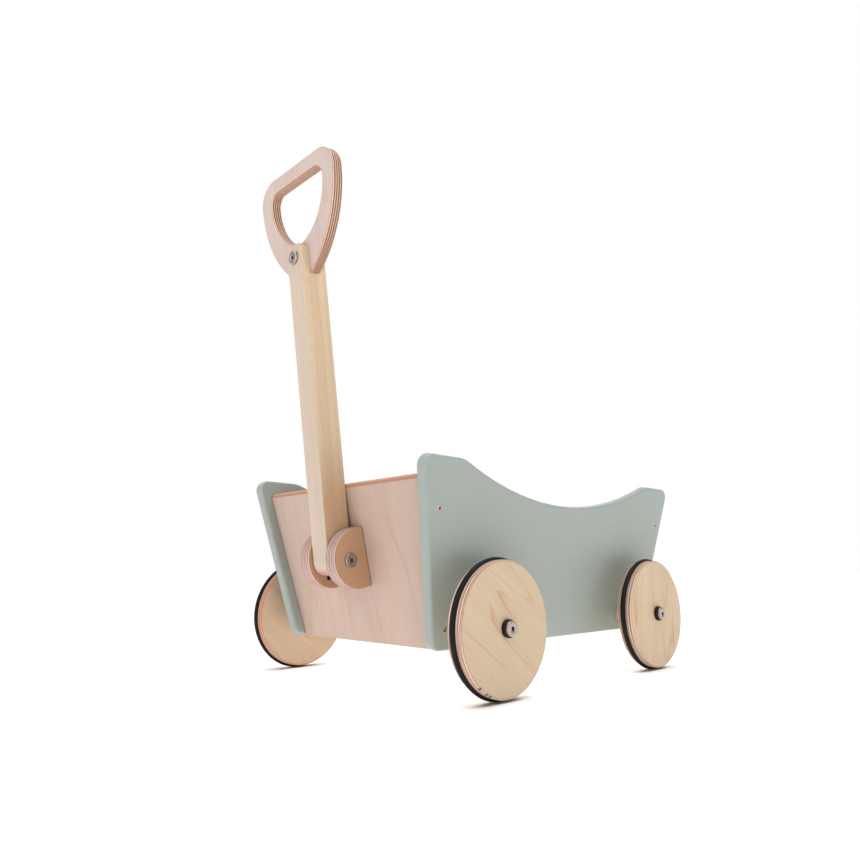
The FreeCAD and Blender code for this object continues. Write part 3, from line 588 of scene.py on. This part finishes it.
def turned_metal(name, colour, roughness, socket=None):
    """Metal in the piece's own axes, turned about Z: fine tool rings, a few scratches, uneven polish.

    Socket, if given, is its radius and the heights between which its walls are darkened with painted shade.
    """
    look = Look(name, Metallic=1.0)
    position, _ = look.own_axes()
    x, y, z = look.split(position)
    radius = look.math("SQRT", look.math("ADD", look.math("MULTIPLY", x, x), look.math("MULTIPLY", y, y)))
    rings = look.noise(look.join(look.math("MULTIPLY", radius, 5200), 0.0, 0.0), detail=2.0)
    haze = look.noise(position, scale=260, detail=3.0)
    scratches = look.noise(look.stretched(x, y, 0.0, (300, 5200, 1)), detail=1.0, distortion=0.4)
    marks = look.ease(scratches, 0.68, 0.78)
    shade = look.math("MULTIPLY", look.swing(haze, 0.07), look.swing(rings, 0.05))
    shade = look.math("MULTIPLY_ADD", marks, -0.08, shade)
    dulling = look.math("MULTIPLY_ADD", look.math("SUBTRACT", haze, 0.5), 0.16, roughness)
    dulling = look.math("MULTIPLY_ADD", marks, 0.12, dulling)
    shaded = look.scaled(colour, shade)
    if socket:
        reach, top, floor = socket
        inside = look.math("LESS_THAN", radius, reach)
        # painted shade on the socket's walls, from the head's face to just short of its floor
        socket_shade = look.math("MULTIPLY", look.ease(z, top, top + SOCKET_SHADE_FADE), inside)
        socket_shade = look.math("MULTIPLY", socket_shade, look.math("LESS_THAN", z, floor))
        shaded = look.tint(look.math("MULTIPLY", socket_shade, 0.6), shaded, SOCKET_PAINTED_SHADE)
        dulling = look.blend(socket_shade, dulling, 0.6)
    height = look.math("SUBTRACT", rings, look.math("MULTIPLY", marks, 0.6))
    return look.finish(shaded, dulling, height, METAL_RELIEF)


def moulded(name, colour, dust, roughness, grain, relief, shine):
    """Moulded rubber or plastic: a fine pitted skin, with dust that has settled in patches."""
    look = Look(name, IOR=1.5, Specular_IOR_Level=shine)
    position, _ = look.own_axes()
    skin = look.noise(position, scale=grain, detail=3.0, roughness=0.6)
    broad = look.noise(position, scale=70, detail=3.0)
    settled = look.math("MULTIPLY", look.ease(broad, 0.45, 0.75), look.ease(skin, 0.4, 0.65))
    tinted = look.tint(look.math("MULTIPLY", settled, 0.35), colour, dust)
    shaded = look.scaled(tinted, look.swing(skin, 0.2))
    dulling = look.math("MULTIPLY_ADD", skin, 0.14, roughness - 0.07)
    dulling = look.math("MULTIPLY_ADD", settled, 0.15, dulling)
    return look.finish(shaded, dulling, skin, relief)


# ---------------------------------------------------------------- turned pieces


def circle(radius, _):
    """Radius of a round ring, the same at every angle."""
    return radius


def hexagon(flats, turn):
    """Radius of a hexagon with its flats this far apart, at an angle."""
    return flats / 2 / math.cos((turn + math.pi / 6) % (math.pi / 3) - math.pi / 6)


def turned(name, rings, segments, closed=False):
    """A mesh of rings about Z, each (size, height, outline), bridged in order.

    It is closed by a fan at each end, or back onto its first ring when closed is true.
    """
    shape = bmesh.new()
    loops = []
    for size, height, outline in rings:
        corners = []
        for step in range(segments):
            turn = 2 * math.pi * step / segments
            radius = outline(size, turn)
            corners.append(shape.verts.new((radius * math.cos(turn), radius * math.sin(turn), height)))
        loops.append(corners)
    pairs = list(zip(loops, loops[1:]))
    if closed:
        pairs.append((loops[-1], loops[0]))
    for inner, outer in pairs:
        for step in range(segments):
            after = (step + 1) % segments
            shape.faces.new((inner[step], inner[after], outer[after], outer[step]))
    if not closed:
        for loop, height in ((loops[0], rings[0][1]), (loops[-1], rings[-1][1])):
            middle = shape.verts.new((0, 0, height))
            for step in range(segments):
                shape.faces.new((loop[step], loop[(step + 1) % segments], middle))
    bmesh.ops.recalc_face_normals(shape, faces=shape.faces)
    mesh = bpy.data.meshes.new(name)
    shape.to_mesh(mesh)
    shape.free()
    mesh.shade_smooth()
    piece = bpy.data.objects.new(name, mesh)
    bpy.context.scene.collection.objects.link(piece)
    return piece


def softened(piece, width, angle=35):
    """Small rounded edges, with normals that keep the flats flat."""
    bevel = piece.modifiers.new("edges", "BEVEL")
    bevel.width = width
    bevel.segments = 2
    bevel.limit_method = "ANGLE"
    bevel.angle_limit = math.radians(angle)
    bevel.harden_normals = True
    return piece


def put(piece, placement, body, material, node):
    """Places a piece, gives it its material and body, and hides the CAD node that it stands for."""
    piece.matrix_world = placement
    piece.data.materials.append(material)
    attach(piece, body)
    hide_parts(node)


def pointing(place, direction):
    """A placement whose Z points in a direction."""
    placement = direction.to_track_quat("Z", "Y").to_matrix().to_4x4()
    placement.translation = place
    return placement


def circles(*sizes):
    """Round rings from (radius, height) pairs."""
    return [(radius, height, circle) for radius, height in sizes]


def rounded_corner(radius, height, bend, start, steps=5):
    """Rings round a corner of a turned piece: its centre, its bend radius and the angle it starts from."""
    turns = [math.radians(start + 90 * step / steps) for step in range(steps + 1)]
    return [(radius + bend * math.cos(turn), height + bend * math.sin(turn), circle) for turn in turns]


def socket_rings(flats, drill, face, depth, chamfer):
    """A hexagonal socket sunk along +Z from a face: its drilled floor, its walls and its chamfered mouth."""
    floor = face + depth
    return [
        (0.1 * flats, floor + DRILL_POINT, circle),
        (drill, floor, circle),
        (flats, floor, hexagon),
        (flats, face + chamfer, hexagon),
        (flats / math.sqrt(3) + chamfer, face, circle),
    ]


def head_rings():
    """A bolt head from its socket's floor out to its seat on the XY plane: socket, face, dome, rim."""
    face = -BOLT_HEAD_THICKNESS
    edge = BOLT_HEAD_CHAMFER
    rings = socket_rings(BOLT_SOCKET_FLATS, BOLT_SOCKET_DRILL_RADIUS, face, BOLT_SOCKET_DEPTH, edge)
    for step in range(BOLT_DOME_STEPS + 1):
        turn = math.pi / 2 * step / BOLT_DOME_STEPS
        reach = (BOLT_HEAD_RADIUS - BOLT_HEAD_FLAT_RADIUS) * math.sin(turn)
        rings += circles((BOLT_HEAD_FLAT_RADIUS + reach, face + BOLT_HEAD_DOME * (1 - math.cos(turn))))
    return rings + circles((BOLT_HEAD_RADIUS, -edge), (BOLT_HEAD_RADIUS - edge, 0))


def shoulder_rings(length):
    """A plain round shank from the XY plane, chamfered at its far end."""
    narrow = BOLT_SHOULDER_RADIUS - BOLT_SHOULDER_CHAMFER
    eased_from = length - BOLT_SHOULDER_CHAMFER
    return circles((BOLT_SHOULDER_RADIUS, 0), (BOLT_SHOULDER_RADIUS, eased_from), (narrow, length))


def thread_rings(start, length):
    """Thread ridges along a shank, ending in a chamfered point."""
    root = BOLT_THREAD_RADIUS - THREAD_DEPTH
    flank = 0.4 * THREAD_PITCH
    land = 0.06 * THREAD_PITCH
    rings = circles((root, start + THREAD_START))
    for turn in range(int(length / THREAD_PITCH) - 1):
        crest = start + (turn + 0.5) * THREAD_PITCH
        rings += circles((root, crest - flank))
        rings += circles((BOLT_THREAD_RADIUS, crest - land), (BOLT_THREAD_RADIUS, crest + land))
    tip = start + length
    return rings + circles((root, tip - THREAD_POINT), (BOLT_THREAD_RADIUS - 3 * THREAD_DEPTH, tip))


def bolt(name, shoulder, thread):
    """A bolt along +Z, its head seated on the XY plane."""
    rings = head_rings()
    if shoulder:
        rings += shoulder_rings(shoulder)
    rings += thread_rings(shoulder, thread)
    return softened(turned(name, rings, BOLT_SEGMENTS), BOLT_SOFTENING)


def sleeve_nut(name, tube, bore):
    """A bolt-like head on a plain tube, bored from its far end."""
    rings = head_rings() + shoulder_rings(tube)
    rings += circles((BOLT_THREAD_RADIUS, tube), (BOLT_THREAD_RADIUS, tube - bore))
    rings += circles((NUT_DRILL_TIP_RADIUS, tube - bore - NUT_DRILL_CONE))
    return softened(turned(name, rings, BOLT_SEGMENTS), BOLT_SOFTENING)


def wood_screw(name, length):
    """A countersunk screw along +Z, its head flush with the XY plane."""
    cone_end = SCREW_HEAD_RIM + SCREW_HEAD_RADIUS - SCREW_SHANK_RADIUS
    plain = length * SCREW_PLAIN_SHARE
    half_turn = 0.45 * SCREW_PITCH
    rings = socket_rings(
        SCREW_SOCKET_FLATS, SCREW_SOCKET_DRILL_RADIUS, 0, SCREW_SOCKET_DEPTH, SCREW_SOCKET_CHAMFER
    )
    rings += circles((SCREW_HEAD_RADIUS - SCREW_HEAD_CHAMFER, 0), (SCREW_HEAD_RADIUS, SCREW_HEAD_RIM))
    rings += circles((SCREW_SHANK_RADIUS, cone_end), (SCREW_SHANK_RADIUS, plain))
    crest = plain + SCREW_PITCH
    while crest < length - SCREW_TIP_LENGTH:
        rings += circles((SCREW_CORE_RADIUS, crest - half_turn), (SCREW_SHANK_RADIUS, crest))
        crest += SCREW_PITCH
    rings += circles((SCREW_CORE_RADIUS, crest - half_turn), (SCREW_TIP_RADIUS, length))
    return turned(name, rings, SCREW_SEGMENTS)


def tyre_middle(side):
    """The tyre's height above its wheel's inner face. The left wheels are mounted the other way round."""
    return TYRE_FROM_WIDE_SIDE if side == "left" else WHEEL_THICKNESS - TYRE_FROM_WIDE_SIDE


def wheel_disc(name, middle):
    """A plywood wheel from its inner face up +Z, with rounded rims, a tyre groove and a bore."""
    eased = WHEEL_EDGE_ROUNDING
    rim = WHEEL_RADIUS - eased
    groove = TYRE_RING_RADIUS - TYRE_SECTION_RADIUS
    low = middle - TYRE_SECTION_RADIUS
    high = middle + TYRE_SECTION_RADIUS
    nick = WHEEL_CHAMFER
    rings = circles((BUSH_RADIUS, nick), (BUSH_RADIUS + nick, 0), (rim * 0.5, 0), (rim - nick, 0))
    rings += rounded_corner(rim, eased, eased, -90)
    rings += circles((WHEEL_RADIUS, low - nick), (WHEEL_RADIUS - nick, low))
    rings += circles((groove, low), (groove, high))
    rings += circles((WHEEL_RADIUS - nick, high), (WHEEL_RADIUS, high + nick))
    rings += rounded_corner(rim, WHEEL_THICKNESS - eased, eased, 0)
    rings += circles((rim - nick, WHEEL_THICKNESS), (rim * 0.5, WHEEL_THICKNESS))
    rings += circles((BUSH_RADIUS + nick, WHEEL_THICKNESS), (BUSH_RADIUS, WHEEL_THICKNESS - nick))
    return softened(turned(name, rings, WHEEL_SEGMENTS, closed=True), WHEEL_SOFTENING)


def tyre_ring(name, middle):
    """A rubber ring about +Z with the raised parting line that its mould leaves."""
    rings = []
    for step in range(TYRE_STEPS):
        turn = 2 * math.pi * step / TYRE_STEPS
        on_parting_line = step in (0, TYRE_STEPS // 2)
        bend = TYRE_SECTION_RADIUS - (0 if on_parting_line else TYRE_PARTING_LINE)
        rings += circles((TYRE_RING_RADIUS + bend * math.cos(turn), middle + bend * math.sin(turn)))
    return turned(name, rings, WHEEL_SEGMENTS, closed=True)


def hub_bush(name):
    """A flanged nylon bearing about +Z, from the wheel's inner face out to its flange."""
    eased = BUSH_FLANGE_ROUNDING
    top = WHEEL_THICKNESS + BUSH_FLANGE_THICKNESS
    nick = BUSH_BORE_CHAMFER
    edge = BUSH_FLANGE_CHAMFER
    sunk = BUSH_BORE_RADIUS + BUSH_COUNTERBORE
    rings = circles((BUSH_BORE_RADIUS, nick), (BUSH_BORE_RADIUS + nick, 0), (BUSH_RADIUS - nick, 0))
    rings += circles((BUSH_RADIUS, nick), (BUSH_RADIUS, WHEEL_THICKNESS))
    rings += circles((BUSH_FLANGE_RADIUS - edge, WHEEL_THICKNESS))
    rings += circles((BUSH_FLANGE_RADIUS, WHEEL_THICKNESS + edge))
    rings += rounded_corner(BUSH_FLANGE_RADIUS - eased, top - eased, eased, 0)
    rings += circles((sunk + nick, top), (sunk, top - nick))
    rings += circles((BUSH_BORE_RADIUS + nick, top - nick), (BUSH_BORE_RADIUS, top - 2 * nick))
    return softened(turned(name, rings, BUSH_SEGMENTS, closed=True), BUSH_SOFTENING)


# ---------------------------------------------------------------- materials

bolt_steel = turned_metal(
    "bolt_steel", linear(164, 152, 146), roughness=0.14,
    socket=(SOCKET_SHARE * BOLT_SOCKET_FLATS, -BOLT_HEAD_THICKNESS, -SOCKET_SPARE),
)
screw_steel = turned_metal(
    "screw_steel", linear(184, 166, 158), roughness=0.3,
    socket=(SOCKET_SHARE * SCREW_SOCKET_FLATS, 0, SCREW_SOCKET_DEPTH + SOCKET_SPARE),
)
brass = turned_metal("brass", linear(200, 160, 84), roughness=0.32)
rubber = moulded(
    "tyre_rubber", linear(18, 18, 20), dust=linear(48, 46, 46), roughness=0.5,
    grain=1400, relief=0.02 * MM, shine=0.14,
)
nylon = moulded(
    "black_nylon", linear(15, 15, 16), dust=linear(50, 50, 50), roughness=0.36,
    grain=2200, relief=0.006 * MM, shine=0.25,
)


def outer_axes(outward, near, along):
    """Axes of a board from a point on its outer face, its outward normal and its face grain."""
    return axes_at(near, along, -outward)


def gap_to_sides(look, rise, off_middle):
    """Distance from a place on an end panel to the leaning side panel beside it."""
    level = look.math("MULTIPLY", rise, math.cos(END_LEAN) * math.tan(SIDE_LEAN))
    half_width = look.math("ADD", level, SIDE_FOOT_Y - PANEL_THICKNESS / math.cos(SIDE_LEAN))
    return look.math("SUBTRACT", half_width, look.math("ABSOLUTE", off_middle))


def gap_to_rear_panel(look, _, out):
    """Distance from a place on an ear to the rear panel that it stands on."""
    return look.math("ABSOLUTE", out)


looks = {
    "floor_panel": plywood(
        "floor_panel_birch", axes_at(Vector((0, 0, FLOOR_TOP)), FORWARD, -UP),
        FLOOR_THICKNESS, plies=7, face=FACE_CREAM, seed=9.4,
    ),
    "handle_grip": plywood(
        "grip_birch", outer_axes(HANDLE_OUTWARD, PIVOT + HANDLE_OUTWARD * GRIP_THICKNESS / 2, HANDLE_AXIS),
        GRIP_THICKNESS, plies=9, face=FACE_PINK, seed=3.3, rings=5, line_strength=0.35, edge=EDGE_RED,
        marks=[(GRIP_KNOT, GRIP_KNOT_RADIUS, 0.2)],
    ),
    "handle_bar": solid_birch(
        "handle_bar_birch", outer_axes(HANDLE_OUTWARD, PIVOT + HANDLE_OUTWARD * BAR_DEPTH / 2, HANDLE_AXIS),
        BAR_BACK_AS_LIT, BAR_SIDE_AS_LIT, BAR_PITH, seed=2.2, warm_shade_below=BAR_WARM_SHADE_BELOW,
    ),
    "pivot_washers": nylon,
    "axle_inserts": brass,
}
for end, sign in END_SIGNS.items():
    looks[f"{end}_panel"] = plywood(
        f"{end}_panel_birch", outer_axes(END_OUTWARD[end], END_FOOT[end], UP), PANEL_THICKNESS,
        plies=9, face=FACE_ROSE, seed=3.4 - 1.7 * sign, rings=5, line_strength=0.32,
        edge=EDGE_ORANGE, painted_shade_gap=gap_to_sides,
    )
    axle_place = Vector((WHEEL_PLACES[end, "right"].x, 0, WHEEL_PLACES[end, "right"].z))
    looks[f"axle_{end}"] = solid_birch(
        f"axle_birch_{end}", axes_at(axle_place, LEFT, -UP), FACE_CREAM, FACE_CREAM, AXLE_PITH, seed=4.0
    )
for side, sign in SIDES.items():
    foot = Vector((0, sign * SIDE_FOOT_Y, PANEL_FOOT))
    outward = Vector((0, sign * math.cos(SIDE_LEAN), -math.sin(SIDE_LEAN)))
    looks[f"side_panel_{side}"] = satin_paint(
        f"sage_paint_{side}", outer_axes(outward, foot, FORWARD), PANEL_THICKNESS,
        plies=9, coat=SAGE, seed=2.0 + sign,
    )
    ear_face = END_FOOT["rear"] + END_UP["rear"] * EAR_RISE + LEFT * sign * (EAR_GAP / 2 + EAR_THICKNESS)
    # painted shade: a dark mark that darkens the pin hole's walls and floor, where shade falls
    pin_hole_shade = Vector((-PIN_HOLE_BELOW_PIVOT, sign * PIN_HOLE_OUT, EAR_THICKNESS - PIN_HOLE_SHADE_DEPTH))
    looks[f"ear_{side}"] = plywood(
        f"ear_birch_{side}", axes_at(ear_face, END_UP["rear"], -LEFT * sign), EAR_THICKNESS,
        plies=11, face=EAR_TAN_AND_BAR_FOOT_SHADE, seed=6.2 + sign, rings=8, line_strength=0.4, edge=EDGE_ROSE,
        marks=[(pin_hole_shade, PIN_HOLE_SHADE_REACH, 0)], painted_shade_gap=gap_to_rear_panel,
    )
for node, look in looks.items():
    frame["nodes"][node].material_slots[0].material = look

# ---------------------------------------------------------------- pieces that replace CAD nodes

# Each wheel's grain direction in degrees, face colour, ring line strength, edge colours and burn marks
WHEEL_LOOKS = {
    ("rear", "right"): (-36, FACE_CREAM, 0.6, EDGE_PINK, WHEEL_BURNS),
    ("front", "right"): (84, FACE_CREAM, 0.5, EDGE_PINK, []),
    ("rear", "left"): (40, FACE_AMBER, 0.3, EDGE_ORANGE, []),
    ("front", "left"): (10, FACE_CREAM, 0.5, EDGE_PINK, []),
}
for index, ((end, side), centre) in enumerate(WHEEL_PLACES.items()):
    sign = SIDES[side]
    outward = LEFT * sign
    wheel = pointing(centre - outward * WHEEL_THICKNESS / 2, outward)
    grain, face, line_strength, edge, marks = WHEEL_LOOKS[end, side]
    grain = math.radians(grain)
    in_wheel = axes_at(Vector((0, 0, WHEEL_THICKNESS)), Vector((math.cos(grain), math.sin(grain), 0)), -UP)
    birch = plywood(
        f"wheel_birch_{end}_{side}", in_wheel, WHEEL_THICKNESS,
        plies=11, face=face, seed=11.0 + 2.3 * index, line_strength=line_strength, edge=edge,
        marks=[(in_wheel.inverted() @ place, size, 0) for place, size in marks],
    )
    body = f"wheel_{end}_{side}"
    disc = wheel_disc(f"disc_{end}_{side}", tyre_middle(side))
    put(disc, wheel, body, birch, f"wheel_disc_{end}_{side}")
    tyre = tyre_ring(f"ring_tyre_{end}_{side}", tyre_middle(side))
    put(tyre, wheel, body, rubber, f"tyre_{end}_{side}")
    put(hub_bush(f"bearing_{end}_{side}"), wheel, body, nylon, f"hub_bush_{end}_{side}")
    seat = WHEEL_THICKNESS / 2 + BUSH_FLANGE_THICKNESS + BUSH_TO_BOLT_HEAD
    shoulder = seat + WHEEL_THICKNESS / 2 + WHEEL_TO_AXLE
    screw_in = pointing(centre + outward * seat, -outward)
    axle_bolt = bolt(f"axle_bolt_{end}_{side}", shoulder, WHEEL_BOLT_THREAD)
    put(axle_bolt, screw_in, "cart", bolt_steel, "wheel_bolts")


def end_face_x(end, height, depth):
    """X of the plane inside an end panel at a depth from its outer face, at a height."""
    shift = (height - PANEL_FOOT) * math.tan(END_LEAN) - depth / math.cos(END_LEAN)
    return END_FOOT[end].x + END_SIGNS[end] * shift


def side_screw_places(sign):
    """Start and direction of a side's four screws, each aimed into the middle of an end panel."""
    inward = Vector((0, -sign * math.cos(SIDE_LEAN), math.sin(SIDE_LEAN)))
    for end in ENDS:
        for rise in SIDE_SCREW_RISES:
            bite = PANEL_FOOT + rise + (SIDE_SCREW_LENGTH + PANEL_THICKNESS) / 2 * inward.z
            x = end_face_x(end, bite, PANEL_THICKNESS / 2)
            y = sign * (SIDE_FOOT_Y + rise * math.tan(SIDE_LEAN))
            yield Vector((x, y, PANEL_FOOT + rise)), inward


def floor_screw_places():
    """Two screws down through the floor into each axle."""
    for end in ENDS:
        for sign in SIDES.values():
            yield Vector((WHEEL_PLACES[end, "right"].x, sign * FLOOR_SCREW_Y, FLOOR_TOP)), -UP


def ear_screw_places():
    """Two screws through the rear panel from inside the hopper into each ear."""
    inner_foot = END_FOOT["rear"] - END_OUTWARD["rear"] * PANEL_THICKNESS
    for sign in SIDES.values():
        ear_middle = LEFT * sign * (EAR_GAP + EAR_THICKNESS) / 2
        for offset in (-EAR_SCREW_OFFSET, EAR_SCREW_OFFSET):
            yield inner_foot + END_UP["rear"] * (EAR_RISE + offset) + ear_middle, END_OUTWARD["rear"]


SCREWS = (
    ("side_screws_right", side_screw_places(SIDES["right"]), SIDE_SCREW_LENGTH),
    ("side_screws_left", side_screw_places(SIDES["left"]), SIDE_SCREW_LENGTH),
    ("floor_screws", floor_screw_places(), FLOOR_SCREW_LENGTH),
    ("ear_screws", ear_screw_places(), EAR_SCREW_LENGTH),
)
for node, places, length in SCREWS:
    for number, (start, inward) in enumerate(places, 1):
        screw = wood_screw(f"{node}_{number}", length)
        put(screw, pointing(start, inward), "cart", screw_steel, node)

ear_reach = EAR_GAP / 2 + EAR_THICKNESS
ear_nut_length = 2 * ear_reach - PIVOT_NUT_SHORT_OF_EARS
fork = PIVOT + HANDLE_AXIS * GRIP_BOLT_HEIGHT
fork_reach = HANDLE_OUTWARD * BAR_DEPTH / 2
ear_bolt_seat = pointing(PIVOT - LEFT * ear_reach, LEFT)
ear_nut_seat = pointing(PIVOT + LEFT * ear_reach, -LEFT)
fork_bolt_seat = pointing(fork + fork_reach, -HANDLE_OUTWARD)
fork_nut_seat = pointing(fork - fork_reach, HANDLE_OUTWARD)
ear_bolt = bolt("ear_bolt", 0, PIVOT_BOLT_LENGTH)
put(ear_bolt, ear_bolt_seat, "cart", bolt_steel, "pivot_bolt")
ear_sleeve = sleeve_nut("ear_sleeve", ear_nut_length, PIVOT_NUT_BORE)
put(ear_sleeve, ear_nut_seat, "cart", bolt_steel, "pivot_nut")
fork_bolt = bolt("fork_bolt", 0, GRIP_BOLT_LENGTH)
put(fork_bolt, fork_bolt_seat, "handle", bolt_steel, "grip_bolt")
fork_sleeve = sleeve_nut("fork_sleeve", GRIP_NUT_LENGTH, GRIP_NUT_BORE)
put(fork_sleeve, fork_nut_seat, "handle", bolt_steel, "grip_nut")

# ---------------------------------------------------------------- floor, light and camera


def studio_floor():
    """A wide pale floor."""
    shape = bmesh.new()
    bmesh.ops.create_grid(shape, x_segments=8, y_segments=8, size=FLOOR_HALF_WIDTH)
    mesh = bpy.data.meshes.new("studio_floor")
    shape.to_mesh(mesh)
    shape.free()
    floor = bpy.data.objects.new("studio_floor", mesh)
    bpy.context.scene.collection.objects.link(floor)
    look = Look("studio_floor", Base_Color=FLOOR_WHITE, Roughness=0.9, Specular_IOR_Level=0.1)
    mesh.materials.append(look.material)
    return floor


def softbox(name, place, width, power, colour, lit, shading):
    """A square soft light, aimed at the middle of the object, that lights one group of objects.

    Shading, if given, is the group of the only objects that cast shadows in it.
    """
    light = bpy.data.lights.new(name, "AREA")
    light.size = width
    light.energy = power
    light.color = colour
    holder = bpy.data.objects.new(name, light)
    holder.matrix_world = pointing(place, place - LIGHT_AIM)
    bpy.context.scene.collection.objects.link(holder)
    holder.light_linking.receiver_collection = lit
    if shading:
        holder.light_linking.blocker_collection = shading


def group(name, members):
    """A collection of the objects that a light falls on or that shade it."""
    collection = bpy.data.collections.new(name)
    for member in members:
        collection.objects.link(member)
    return collection


def studio_world():
    """A white room with one dark side: full white to the eye, less in reflections, a fill as light."""
    world = bpy.data.worlds.new("studio")
    world.use_nodes = True
    wiring = Wiring(world.node_tree)
    path = wiring.node("ShaderNodeLightPath", {}).outputs
    direction = wiring.node("ShaderNodeTexCoord", {}).outputs["Generated"]
    toward = wiring.node("ShaderNodeVectorMath", {0: direction, 1: DARK_SIDE}, operation="DOT_PRODUCT")
    reflected = wiring.ease(toward.outputs["Value"], *DARK_SIDE_EDGE, ROOM_REFLECTION, DARK_SIDE_REFLECTION)
    strength = wiring.blend(path["Is Glossy Ray"], ROOM_FILL, reflected)
    strength = wiring.blend(path["Is Camera Ray"], strength, 1.0)
    wiring.feed(world.node_tree.nodes["Background"].inputs["Color"], (1, 1, 1, 1))
    wiring.feed(world.node_tree.nodes["Background"].inputs["Strength"], strength)
    bpy.context.scene.world = world


def studio_light(floor):
    """Big softboxes round the object, and an overhead light for the floor alone.

    Only the wheels cast shadows in the overhead light, so the floor keeps their contact shadows and
    loses the hopper's. They cast none in the right softbox, so the side panel behind them stays light.
    """
    shown = [thing for thing in bpy.context.scene.objects if thing.type == "MESH" and thing is not floor]
    objects = group("lit_object", shown)
    wheels = [thing for thing in shown if thing.get("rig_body", "").startswith("wheel")]
    body = group("shading_body", [thing for thing in shown if thing not in wheels])
    for name, place, width, power, colour, wheels_shade in SOFTBOXES:
        softbox(name, place, width, power, colour, objects, None if wheels_shade else body)
    overhead = bpy.data.lights.new("overhead_light", "SUN")
    overhead.energy = FLOOR_SUN
    overhead.angle = math.radians(FLOOR_SUN_WIDTH)
    holder = bpy.data.objects.new("overhead_light", overhead)
    holder.rotation_euler.y = math.radians(FLOOR_SUN_LEAN)
    bpy.context.scene.collection.objects.link(holder)
    holder.light_linking.receiver_collection = group("lit_floor", [floor])
    holder.light_linking.blocker_collection = group("shading_wheels", wheels)


def studio_camera():
    """The camera, low behind the right rear wheel and looking up a little."""
    yaw = math.radians(CAMERA_YAW)
    pitch = math.radians(CAMERA_PITCH)
    ahead = Vector((math.cos(yaw) * math.cos(pitch), math.sin(yaw) * math.cos(pitch), math.sin(pitch)))
    right = ahead.cross(UP).normalized()
    over = right.cross(ahead)
    turn = Matrix((right, over, -ahead)).transposed() @ Matrix.Rotation(math.radians(CAMERA_ROLL), 3, "Z")
    camera = bpy.data.cameras.new("camera")
    camera.lens = CAMERA_LENS
    camera.clip_start = CAMERA_NEAREST
    holder = bpy.data.objects.new("camera", camera)
    holder.matrix_world = Matrix.Translation(CAMERA_PLACE) @ turn.to_4x4()
    bpy.context.scene.collection.objects.link(holder)
    bpy.context.scene.camera = holder


studio_light(studio_floor())
studio_world()
studio_camera()
bpy.context.scene.view_settings.view_transform = "Standard"

bpy.context.view_layer.update()
